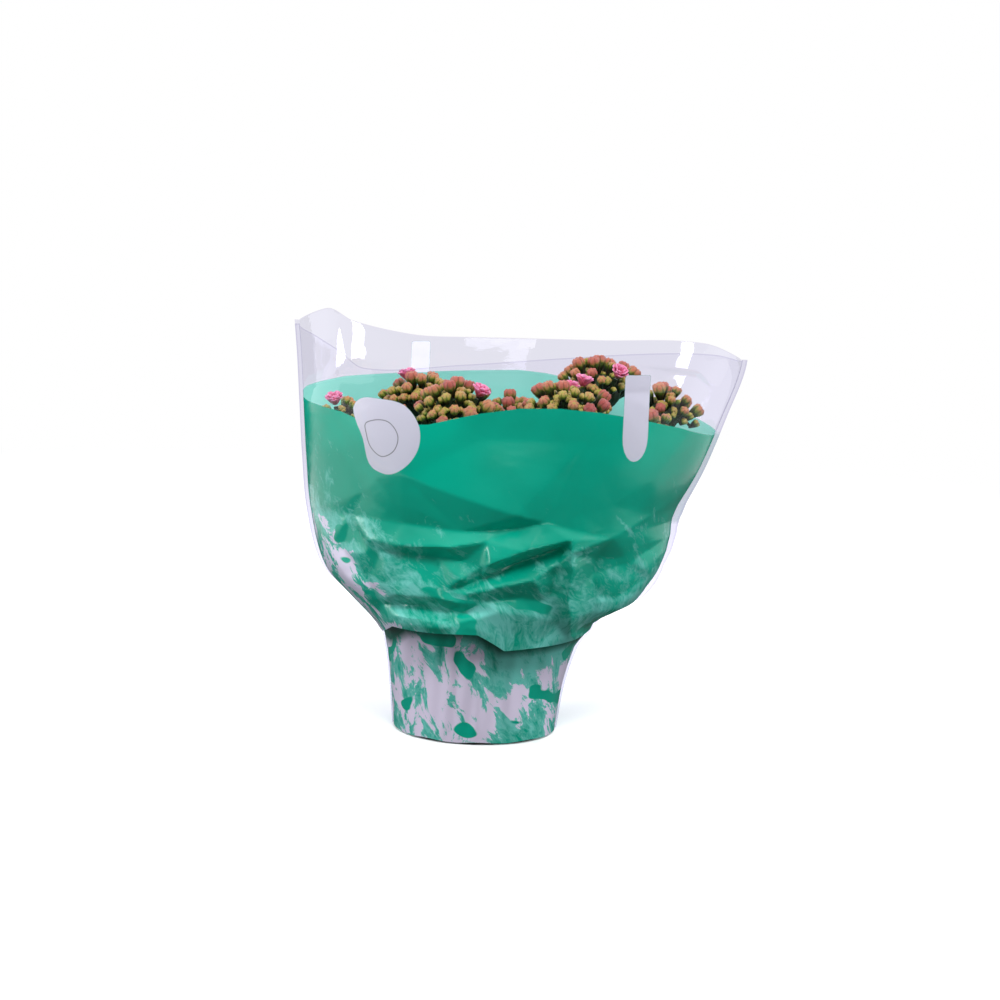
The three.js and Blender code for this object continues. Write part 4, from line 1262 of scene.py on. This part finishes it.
big_bud, small_bud = bud_template(12, 6, 0.08), bud_template(8, 4, 0.06)
print("faces in a bud:", len(big_bud.polygons), "in a small one:", len(small_bud.polygons))

# %% [markdown]
# Bud skin is waxy, with a fine grain. It gives the eye a green cup, yellow-green sides and a salmon
# crown, redder on the riper buds, with a red-brown seam between two petals. The cup is painted near
# black towards its heel, as painted shade between the buds, and the seam is painted darker than its
# red-brown, as painted shade in the crease. No two buds are alike.

# %% Bud material
# the skin's mottle and grain and the grain's height, mm
BUD_LOOK = {"mottle": 2.381, "grain": 1.111, "tall": 0.5}
# low on the bud the greens are painted near black: painted shade between the buds
BUD_GREENS_SHADED_LOW = [(0.12, "#060B03"), (0.47, "#132208"), (0.65, "#456119"), (0.82, "#8E9537"), (0.97, "#A89D48")]
BUD_FLUSH = [(0, "#A18F46"), (0.4, "#AE754B"), (0.75, "#AB5F4B"), (1, "#98453E")]
# the seam's colour: the petals' red-brown edge, painted darker as shade in the crease
BUD_SEAM_SHADED = "#4A2416"


def bud_color(m, mottle):
    ripe = add_node(m, "Attribute", "Fac", attribute_name="ripe")
    up = add_node(m, "Attribute", "Fac", attribute_name="up")
    uneven = add_node(m, "MapRange", Value=mottle, To_Min=-0.25, To_Max=0.25)
    height = add_node(m, "Math", operation="ADD", _0=up, _1=uneven)
    # the ramp paints the bud's lower part near black, as painted shade between the buds
    green = add_node(m, "ValToRGB", Fac=height, stops=BUD_GREENS_SHADED_LOW)
    flush = add_node(m, "ValToRGB", Fac=ripe, stops=BUD_FLUSH)
    blushed = add_node(m, "Math", operation="MULTIPLY_ADD", _0=ripe, _1=0.28, _2=height)
    share = add_node(m, "MapRange", Value=blushed, From_Min=0.84, From_Max=1.06)
    color = add_node(m, "Mix", 2, data_type="RGBA", _0=share, _6=green, _7=flush)
    rib = add_node(m, "Attribute", "Fac", attribute_name="rib")
    # the seam: red-brown petal edges, painted darker as shade in the crease between petals
    seam = add_node(m, "MapRange", Value=rib, From_Min=-0.3, From_Max=-0.95, To_Max=0.62)
    return add_node(m, "Mix", 2, data_type="RGBA", _0=seam, _6=color, _7=linear(BUD_SEAM_SHADED))


def bud_material():
    m = new_material("waxy bud")
    where = add_node(m, "TexCoord", "Object")
    mottled = {"Scale": 1 / (BUD_LOOK["mottle"] * MM), "Detail": 5.0, "Roughness": 0.65}
    mottle = add_node(m, "TexNoise", Vector=where, **mottled)
    grain = add_node(m, "TexNoise", Vector=where, Scale=1 / (BUD_LOOK["grain"] * MM), Detail=2.0)
    skin = add_node(m, "Math", operation="ADD", _0=grain, _1=mottle)
    bump = add_node(m, "Bump", Strength=0.5, Distance=BUD_LOOK["tall"] * MM, Height=skin)
    surface = {"Roughness": 0.4, "IOR": 1.45, "Specular_IOR_Level": 0.45}
    wax = add_node(m, "BsdfPrincipled", Base_Color=bud_color(m, mottle), Normal=bump, **surface)
    add_node(m, "OutputMaterial", Surface=wax)
    return m


bud_finish = bud_material()
print("material:", bud_finish.name)

# %% [markdown]
# Under the buds each head branches like an umbrella: a few main branches leave the stem's end, and
# each bud stands on its own thin stalk from the nearest fork. Small young buds crowd round the
# older ones, a little lower, wherever there is room. A ribbed green knot stands for the bunch of
# thin branches in the middle, which nobody can see one by one.

# %% Branches and young buds
# one main branch for so many mm of radius; how high the forks stand between the head's base and its
# dome, and how far out the inner and the outer ones, as shares of the radius
FORKS = {"apart": 3, "least": 4, "height": 0.55, "inner": 0.28, "outer": 0.5}
# how much clearer of the film than of the other heads a bud keeps, and the heel's depth, mm
FILM_ROOM, HEEL = 2.5, 1.2
# round each bud so many young ones are tried; their least size and how much more, how close they
# stand, how far down and how much further, mm, their length, their ripeness and how much more
YOUNG = {"tries": 4, "size": (0.4, 0.3), "close": 0.93, "down": (2.2, 3), "long": 0.9, "ripe": (0.05, 0.3)}
# a young bud is left out where it would come nearer to another than this, in widths
CROWDED = 0.4


def has_room(k, points, room):
    """True if a bud of that half width keeps clear of the other heads and the film."""
    ones = np.ones(len(points))
    return territory(k, points, ones).min() >= room and inside_sleeve(points).min() >= room + FILM_ROOM


def forks_of(k):
    hx, hy, _, radius = HEADS[k]
    count = max(FORKS["least"], round(radius / FORKS["apart"]))
    height = head_base(k) + FORKS["height"] * (dome_at(k, 0.5) - head_base(k))
    reaches = [radius * FORKS["outer" if i % 2 else "inner"] for i in range(count)]
    turns = [i * 2 * math.pi / count for i in range(count)]
    return [np.array([hx + r * math.cos(a), hy + r * math.sin(a), height]) for r, a in zip(reaches, turns)]


def roomy_buds(k, buds):
    """The buds that have room; each learns whether it is open, and where its stalk starts and ends."""
    forks = forks_of(k)
    opened = [bud for bud in buds if (k, bud["index"]) in OPEN]
    kept = []
    for bud in buds:
        room = BUD["width"] / 2 * bud["size"] + 0.5
        fits = bud["share"] <= 0.98 and has_room(k, np.array([bud["place"], bud["tip"]]), room)
        beside = [np.linalg.norm(o["place"] - bud["place"]) for o in opened if o is not bud]
        if fits and min(beside, default=99) >= FLOWER["room"]:
            bud["open"] = (k, bud["index"]) in OPEN
            bud["heel"] = bud["place"] + bud["aim"] * ((FLOWER["stalk"] if bud["open"] else 0) - HEEL)
            bud["fork"] = min(forks, key=lambda fork: np.linalg.norm(fork - bud["heel"]))
            kept.append(bud)
    return kept


def add_young_buds(bm, k, kept, draw):
    """Adds the small buds and returns the paths of their stalks."""
    paths = []
    for bud in kept:
        across_aim = Vector(bud["aim"]).orthogonal().normalized()
        for _ in range(YOUNG["tries"]):
            turn, size = draw() * 2 * math.pi, YOUNG["size"][0] + YOUNG["size"][1] * draw()
            side = np.array(Matrix.Rotation(turn, 3, Vector(bud["aim"])) @ across_aim)
            out = BUD["width"] / 2 * (bud["size"] + size) * YOUNG["close"]
            down = YOUNG["down"][0] + YOUNG["down"][1] * draw()
            place = bud["place"] + side * out - bud["aim"] * down
            near = min(np.linalg.norm(place - o["place"]) / (o["size"] + size) for o in kept)
            ends = np.array([place, place + bud["aim"] * 4])
            if near < BUD["width"] * CROWDED or not has_room(k, ends, BUD["width"] / 2 * size):
                continue
            ripe = YOUNG["ripe"][0] + YOUNG["ripe"][1] * draw() ** 2
            width, length = BUD["width"] * size, BUD["length"] * size * YOUNG["long"]
            add_bud(bm, small_bud, place, bud["aim"], width, length, ripe, turn)
            paths.append([(bud["heel"] - bud["aim"] * 3, 0.7), (place - bud["aim"] * 0.8, 0.9)])
    return paths


print("main branches on each head:", [len(forks_of(k)) for k in range(len(HEADS))])

# %% [markdown]
# A head is put together from its heel up: the branches, a stalk and a bud for each place that has
# room, the young buds between, and the knot in the middle.

# %% Build the flower heads
# the knot's ribs and their depth, its height in the head, and its half width and half height as
# shares of the head's radius and height
KNOT = {"ribs": 16, "deep": 0.1, "up": 0.62, "wide": 0.42, "high": 0.3}
# a branch is this thick at the stem, in the middle and at its fork, and a bud's stalk at the fork,
# in the middle and at the bud, all radii in mm
BRANCH, STALK = (1.9, 1.5, 1.3), (1.1, 1.0, 1.25)
# a grown bud's width and length as shares of its room
GROWN = (0.92, 0.95)


def add_knot(bm, k):
    hx, hy, _, radius = HEADS[k]
    base = head_base(k)
    knot = bmesh.ops.create_uvsphere(bm, u_segments=2 * KNOT["ribs"], v_segments=8, radius=1.0)["verts"]
    for v in knot:
        v.co.xy *= 1 + KNOT["deep"] * math.cos(KNOT["ribs"] * math.atan2(v.co.y, v.co.x))
    middle = Vector((hx, hy, base + KNOT["up"] * (dome_at(k, 0.3) - base))) * MM
    wide, high = radius * KNOT["wide"] * MM, KNOT["high"] * (dome_at(k, 0.2) - base) * MM
    size = Matrix.Diagonal((wide, wide, high, 1))
    bmesh.ops.transform(bm, matrix=Matrix.Translation(middle) @ size, verts=knot)
    # the knot takes the stems' green, which is painted dark as shade
    for face in {face for v in knot for face in v.link_faces}:
        face.material_index = 1


def branch_paths(k):
    """The main branches, each bowed up a little between the stem's end and its fork."""
    end = stem_at(k, head_base(k))
    return [list(zip((end, (end + fork) / 2 + [0, 0, 1.5], fork), BRANCH)) for fork in forks_of(k)]


def flower_head(k):
    draw = stream(900 + k * 7)
    bm = bmesh.new()
    for name in ("ripe", "up", "rib"):
        bm.verts.layers.float.new(name)
    paths = branch_paths(k)
    kept = roomy_buds(k, all_buds[k])
    for bud in kept:
        middle = bud["fork"] * 0.45 + bud["heel"] * 0.55 - bud["aim"] * 3.0
        paths.append(list(zip((bud["fork"], middle, bud["heel"]), STALK)))
        if not bud["open"]:
            ripe = 0.45 + 0.55 * draw() if bud["size"] > 0.8 else 0.1 + 0.5 * draw()
            width, length = BUD["width"] * bud["size"] * GROWN[0], BUD["length"] * bud["size"] * GROWN[1]
            add_bud(bm, big_bud, bud["place"], bud["aim"], width, length, ripe, draw() * 6)
    paths += add_young_buds(bm, k, kept, draw)
    add_knot(bm, k)
    add_stalks(bm, paths, 1, 1)
    return make_piece(f"buds_{k + 1}", bm, [bud_finish, stem_green_painted_dark], [f"flower_head_{k + 1}"])


heads = [flower_head(k) for k in range(len(HEADS))]
print("faces on each head:", [len(piece.data.polygons) for piece in heads])

# %% [markdown]
# A petal is thin and soft. It gives the eye a deep rose at its foot and magenta-pink at its tip,
# and some light comes through it.

# %% Petal material
# the petal's mottle and the height of its grain, mm
PETAL_LOOK = {"mottle": 2, "tall": 0.3}
PETAL_PINKS = [(0, "#A5303F"), (0.45, "#CF4A64"), (0.8, "#E06A90"), (1, "#F29CC4")]


def petal_material():
    m = new_material("pink petal")
    along = add_node(m, "Attribute", "Fac", attribute_name="along")
    where = add_node(m, "TexCoord", "Object")
    noise = add_node(m, "TexNoise", Vector=where, Scale=1 / (PETAL_LOOK["mottle"] * MM), Detail=3.0)
    uneven = add_node(m, "MapRange", Value=noise, To_Min=-0.2, To_Max=0.2)
    mixed = add_node(m, "Math", operation="ADD", _0=along, _1=uneven)
    color = add_node(m, "ValToRGB", Fac=mixed, stops=PETAL_PINKS)
    bump = add_node(m, "Bump", Strength=0.3, Distance=PETAL_LOOK["tall"] * MM, Height=noise)
    surface = {"Roughness": 0.5, "IOR": 1.4, "Sheen_Weight": 0.15}
    sheen = add_node(m, "BsdfPrincipled", Base_Color=color, Normal=bump, **surface)
    glow = add_node(m, "BsdfTranslucent", Color=linear("#E05880"))
    add_node(m, "OutputMaterial", Surface=add_node(m, "MixShader", _0=0.2, _1=sheen, _2=glow))
    return m


petal_finish = petal_material()
print("material:", petal_finish.name)

# %% [markdown]
# The open flowers are double: whorl inside whorl of blunt petals, loose outside and closed in the
# middle. Each petal is a small grid, cupped and thickened.

# %% Build the open flowers
# for each whorl: petals, tilt from upright in radians, length and width in mm
WHORLS = [(6, 0.38, 6.4, 4.8), (6, 0.2, 6.8, 4.4), (5, 0.05, 6.8, 3.8), (4, -0.1, 6.2, 3.0)]
# a petal's thickness and cup, mm, its curl in radians, and how far out and up its foot stands, mm
PETAL = {"thick": 0.35, "cup": 0.9, "curl": 0.32, "foot": (0.9, 1.2)}


def add_petal(bm, turn, tilt, length, width):
    part = bmesh.new()
    bmesh.ops.create_grid(part, x_segments=4, y_segments=5, size=0.5)
    along = part.verts.layers.float.new("along")
    for v in part.verts:
        s, t = v.co.x * 2, v.co.y + 0.5
        half = width / 2 * math.sin(math.pi * (0.12 + 0.74 * t)) ** 0.8
        bend, cup = tilt + PETAL["curl"] * t, 0.6 * PETAL["cup"] * (1 - s * s)
        out = PETAL["foot"][0] + length * t * math.sin(bend) + cup * math.cos(bend)
        up = PETAL["foot"][1] + length * t * math.cos(bend) - cup * math.sin(bend)
        v.co = Vector((out, s * half, up)) * MM
        v[along] = t
    part.normal_update()
    bmesh.ops.solidify(part, geom=part.faces[:], thickness=PETAL["thick"] * MM)
    bmesh.ops.rotate(part, cent=(0, 0, 0), matrix=Matrix.Rotation(turn, 3, "Z"), verts=part.verts)
    join(bm, part)


def open_flower(number, bud):
    bm = bmesh.new()
    bm.verts.layers.float.new("along")
    draw = stream(40 + number)
    for whorl, (count, tilt, length, width) in enumerate(WHORLS):
        for i in range(count):
            turn = (i + 0.5 * (whorl % 2) + 0.25 * (draw() - 0.5)) * 2 * math.pi / count
            add_petal(bm, turn, tilt + 0.12 * (draw() - 0.5), length, width)
    foot = bud["place"] + bud["aim"] * (FLOWER["stalk"] + FLOWER["gap"] - FLOWER["sits"])
    place = Matrix.Translation(Vector(foot) * MM)
    bmesh.ops.transform(bm, matrix=place @ upright_to(bud["aim"]), verts=bm.verts)
    make_piece(f"petals_{number + 1}", bm, [petal_finish], [f"open_flower_{number + 1}"])


for number, (head, index) in enumerate(OPEN):
    open_flower(number, all_buds[head][index])
print("open flowers:", len(OPEN), "petals in each:", sum(whorl[0] for whorl in WHORLS))

# %% [markdown]
# The pot is thin moulded polypropylene, with a collar that stiffens its rim. A profile spun round
# the axis gives the wall, as it would on a lathe. Six drain holes are then cut from its floor.

# %% Pot shape
# radius and height in mm: out along the floor, up the outside, over the collar and down the inside
POT_PROFILE = [
    (0, 1.2), (36, 1.2), (38, 0.3), (43, 0), (43.8, 0.8), (54, 91), (57.4, 91.9), (58, 92.6), (58, 103.2),
    (57.6, 103.9), (57, 103.9), (56.7, 103.2), (56.7, 94), (52.7, 92), (42.7, 2.4), (42.2, 1.6), (0, 2.6),
]
# the drain holes: how many, their radius, the radius they stand at and the drill's length, all mm
DRAIN = {"count": 6, "radius": 4, "circle": 29, "depth": 12}


def spun_pot():
    bm = bmesh.new()
    verts = [bm.verts.new((r * MM, 0, z * MM)) for r, z in POT_PROFILE]
    edges = [bm.edges.new(pair) for pair in zip(verts, verts[1:])]
    round_axis = {"axis": (0, 0, 1), "cent": (0, 0, 0), "angle": 2 * math.pi}
    bmesh.ops.spin(bm, geom=verts + edges, steps=96, use_merge=True, **round_axis)
    bmesh.ops.remove_doubles(bm, verts=bm.verts, dist=1e-6)
    bmesh.ops.recalc_face_normals(bm, faces=bm.faces)
    return bm


def cut_drains(piece):
    bm = bmesh.new()
    drill = {"segments": 24, "radius1": DRAIN["radius"] * MM, "radius2": DRAIN["radius"] * MM}
    for i in range(DRAIN["count"]):
        angle = i * 2 * math.pi / DRAIN["count"]
        spot = Matrix.Translation(Vector((math.cos(angle), math.sin(angle), 0)) * DRAIN["circle"] * MM)
        bmesh.ops.create_cone(bm, cap_ends=True, depth=DRAIN["depth"] * MM, matrix=spot, **drill)
    drills = add_object("drills", mesh_from("drills", bm))
    cut = piece.modifiers.new("drain holes", "BOOLEAN")
    cut.object, cut.operation, cut.solver = drills, "DIFFERENCE", "EXACT"
    bpy.context.view_layer.update()
    done = bpy.data.meshes.new_from_object(piece.evaluated_get(bpy.context.evaluated_depsgraph_get()))
    piece.modifiers.clear()
    piece.data = done
    bpy.data.objects.remove(drills)


print("pot, mm:", max(r for r, _ in POT_PROFILE) * 2, "across and", max(z for _, z in POT_PROFILE), "high")

# %% [markdown]
# The pot's plastic gives the eye a dark grey-brown with a fine satin grain, duller and paler where
# peat dust clings to it.

# %% Build the pot
# the moulded grain, its height and the patches of dust, mm; the grain is drawn coarser than it is,
# so that it shows
POT_LOOK = {"grain": 0.625, "tall": 0.2, "dust": 22.22}


def pot_material():
    m = new_material("moulded polypropylene pot")
    where = add_node(m, "TexCoord", "Object")
    fine = add_node(m, "TexNoise", Vector=where, Scale=1 / (POT_LOOK["grain"] * MM), Detail=2.0)
    patchy = {"Scale": 1 / (POT_LOOK["dust"] * MM), "Detail": 5.0, "Roughness": 0.65}
    dust = add_node(m, "TexNoise", Vector=where, **patchy)
    color = add_node(m, "ValToRGB", Fac=dust, stops=[(0.35, "#2A2523"), (0.6, "#3B3431"), (0.8, "#574D45")])
    bump = add_node(m, "Bump", Strength=0.25, Distance=POT_LOOK["tall"] * MM, Height=fine)
    rough = add_node(m, "MapRange", Value=dust, To_Min=0.38, To_Max=0.68)
    satin = add_node(m, "BsdfPrincipled", Base_Color=color, Roughness=rough, IOR=1.49, Normal=bump)
    add_node(m, "OutputMaterial", Surface=satin)
    return m


pot = make_piece("nursery_pot", spun_pot(), [pot_material()], ["pot"])
cut_drains(pot)
print("pot faces:", len(pot.data.polygons))

# %% [markdown]
# Peat is moist and crumbly. It gives the eye a rough, nearly black brown with paler fibres. The
# frame's plug of soil keeps its own mesh and takes the peat.

# %% Peat material
# the lumps and fibres and how tall they are, mm
PEAT_LOOK = {"lumps": 2.381, "fibres": 2.632, "tall": 1.6}
PEAT_BROWNS = [(0.3, "#17100B"), (0.55, "#33241A"), (0.75, "#5A4230"), (0.9, "#8A735A")]


def peat_material():
    m = new_material("moist peat")
    where = add_node(m, "TexCoord", "Object")
    lumpy = {"Scale": 1 / (PEAT_LOOK["lumps"] * MM), "Detail": 6.0, "Roughness": 0.7}
    lumps = add_node(m, "TexNoise", Vector=where, **lumpy)
    fibres = add_node(m, "TexVoronoi", Vector=where, Scale=1 / (PEAT_LOOK["fibres"] * MM))
    color = add_node(m, "ValToRGB", Fac=lumps, stops=PEAT_BROWNS)
    height = add_node(m, "Math", operation="MULTIPLY_ADD", _0=fibres, _1=0.6, _2=lumps)
    bump = add_node(m, "Bump", Strength=0.9, Distance=PEAT_LOOK["tall"] * MM, Height=height)
    crumbly = add_node(m, "BsdfPrincipled", Base_Color=color, Roughness=0.9, Normal=bump)
    add_node(m, "OutputMaterial", Surface=crumbly)
    return m


peat = peat_material()
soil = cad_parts["soil"]
soil.data.materials.clear()
soil.data.materials.append(peat)
print("soil keeps its mesh and takes:", peat.name)

# %% [markdown]
# Loose crumbs lie on the soil's own uneven surface, thickest in the middle, and keep clear of the
# stems. Each is an icosphere with its corners pushed in and out. They could be scattered by
# geometry nodes; a loop with a seeded stream gives the same crumbs every time.

# %% Peat crumbs
# the soil's height, its bumps, the radius that it is flat to and its fall towards the wall, all mm
SOIL = {"top": 94, "bumps": 1.3, "flat_to": 26, "fall": 1.5}
# how many crumbs, how far out they lie, their least size and how much more, the room that they
# leave round a stem, all mm, and how high they lie, as a share of their size
CRUMB = {"count": 420, "spread": 50, "least": 0.7, "more": 1.7, "from_stem": 4.2, "raised": 0.25}


def soil_height(x, y, r):
    fall = SOIL["fall"] * max(0, (r - SOIL["flat_to"]) / SOIL["flat_to"])
    return SOIL["top"] - fall + SOIL["bumps"] * math.sin(x * 0.31 + 1) * math.cos(y * 0.37)


crumbs = bmesh.new()
draw = stream(77)
for _ in range(CRUMB["count"]):
    r, turn = CRUMB["spread"] * math.sqrt(draw()), draw() * 2 * math.pi
    x, y = r * math.cos(turn), r * math.sin(turn)
    size = CRUMB["least"] + CRUMB["more"] * draw() ** 2
    z = soil_height(x, y, r) + size * CRUMB["raised"]
    if min(math.hypot(x - head[0] * fan(z), y - head[1] * fan(z)) for head in HEADS) < CRUMB["from_stem"]:
        continue
    new = bmesh.ops.create_icosphere(crumbs, subdivisions=1, radius=1.0)["verts"]
    for v in new:
        v.co *= 0.8 + 0.4 * draw()
    turned = Matrix.Rotation(draw() * 6, 4, "Z") @ Matrix.Rotation(draw() * 6, 4, "X")
    squashed = Matrix.Diagonal((size * MM, size * (0.6 + 0.4 * draw()) * MM, size * 0.7 * MM, 1))
    place = Matrix.Translation((x * MM, y * MM, z * MM))
    bmesh.ops.transform(crumbs, matrix=place @ turned @ squashed, verts=new)
crumbs_piece = make_piece("peat_crumbs", crumbs, [peat], [])
print("crumb faces:", len(crumbs_piece.data.polygons))

# %% [markdown]
# The piece stands on white paper. The camera sees the paper plain white, but the light that comes
# up off it is kept weaker, as from a table that isn't lit all the way out. Further off the paper
# fades into the white behind it.

# %% Floor
# half the paper's side, how far it lies below the piece, and where it fades into the white, all m
FLOOR = {"half": 12, "below": 0.0004, "fades_from": 0.35, "fades_to": 1.1}
# the paper's grain, mm
PAPER_GRAIN = 1.667


def paper_material():
    m = new_material("white paper")
    where = add_node(m, "TexCoord", "Object")
    grain = add_node(m, "TexNoise", Vector=where, Scale=1 / (PAPER_GRAIN * MM))
    color = add_node(m, "ValToRGB", Fac=grain, stops=[(0, "#F4F4F4"), (1, "#FAFAFA")])
    matt = {"Roughness": 0.9, "Specular_IOR_Level": 0.1}
    paper = add_node(m, "BsdfPrincipled", Base_Color=color, **matt)
    bounce = add_node(m, "BsdfPrincipled", Base_Color=linear("#484848"), **matt)
    seen = add_node(m, "LightPath", "Is Camera Ray")
    near = add_node(m, "MixShader", _0=seen, _1=bounce, _2=paper)
    distance = add_node(m, "VectorMath", "Value", operation="LENGTH", _0=where)
    away = add_node(m, "MapRange", Value=distance, From_Min=FLOOR["fades_from"], From_Max=FLOOR["fades_to"])
    far = add_node(m, "Emission", Color=(1, 1, 1, 1), Strength=seen)
    add_node(m, "OutputMaterial", Surface=add_node(m, "MixShader", _0=away, _1=near, _2=far))
    return m


def add_floor():
    bm = bmesh.new()
    bmesh.ops.create_grid(bm, x_segments=1, y_segments=1, size=FLOOR["half"])
    floor = add_object("floor", mesh_from("floor", bm))
    floor.data.materials.append(paper_material())
    floor.location.z = -FLOOR["below"]


add_floor()
print("floor, m:", 2 * FLOOR["half"])

# %% [markdown]
# The light is that of a light tent: bright behind and above, dim from the camera's side. Two tall
# strips at the sides draw upright streaks in the clear film. A key light above the camera and a
# weak fill below it light the buds and the print, and the film doesn't mirror them. Three cards
# are only mirrored: two lie beside the piece and brighten the film's turned edges, and one stands
# behind the camera for a soft sheen on the front.


# %% Light
def add_softbox(name, place, target, width, height, power, mirrored=True, lights=True):
    light = bpy.data.lights.new(name, "AREA")
    light.shape, light.size, light.size_y, light.energy = "RECTANGLE", width, height, power
    holder = add_object(name, light)
    holder.location, holder.visible_camera = place, False
    holder.visible_glossy, holder.visible_diffuse = mirrored, lights
    holder.rotation_euler = (Vector(target) - Vector(place)).to_track_quat("-Z", "Y").to_euler()


def add_tent():
    world = bpy.data.worlds.new("light tent")
    world.use_nodes = True
    world.node_tree.nodes.clear()
    bpy.context.scene.world = world
    direction = add_node(world, "TexCoord", "Generated")
    depth = add_node(world, "SeparateXYZ", "Y", Vector=direction)
    height = add_node(world, "SeparateXYZ", "Z", Vector=direction)
    back = add_node(world, "MapRange", Value=depth, From_Min=-0.95, From_Max=0.35, To_Min=0.03, To_Max=1.6)
    top = add_node(world, "MapRange", Value=height, From_Min=0.35, From_Max=0.9, To_Max=1.1)
    strength = add_node(world, "Math", operation="MAXIMUM", _0=back, _1=top)
    lit = add_node(world, "Background", Color=linear("#F7F8FF"), Strength=strength)
    white = add_node(world, "Background", Color=(1, 1, 1, 1), Strength=1.0)
    seen = add_node(world, "LightPath", "Is Camera Ray")
    add_node(world, "OutputWorld", Surface=add_node(world, "MixShader", _0=seen, _1=lit, _2=white))


add_tent()
add_softbox("left strip", (-1.5, -0.35, 0.6), (0, 0, 0.15), 0.3, 1.4, 14)
add_softbox("right strip", (1.5, -0.35, 0.6), (0, 0, 0.15), 0.3, 1.4, 11)
add_softbox("key", (0.2, -1.25, 1.5), (0, 0, 0.12), 0.6, 0.5, 25, mirrored=False)
add_softbox("fill", (0, -1.8, 0.35), (0, 0, 0.12), 1.4, 0.6, 2.5, mirrored=False)
add_softbox("left card", (-0.75, 0.1, 0.01), (-0.75, 0.1, 1), 0.9, 0.9, 4, lights=False)
add_softbox("right card", (0.75, 0.1, 0.01), (0.75, 0.1, 1), 0.9, 0.9, 2, lights=False)
add_softbox("card behind the camera", (0.38, -2.4, 0.42), (0, 0, 0.15), 1.1, 0.35, 7, lights=False)
bpy.context.scene.view_settings.view_transform = "Standard"
bpy.context.scene.view_settings.look = "None"
print("soft boxes and cards:", len(bpy.data.lights))
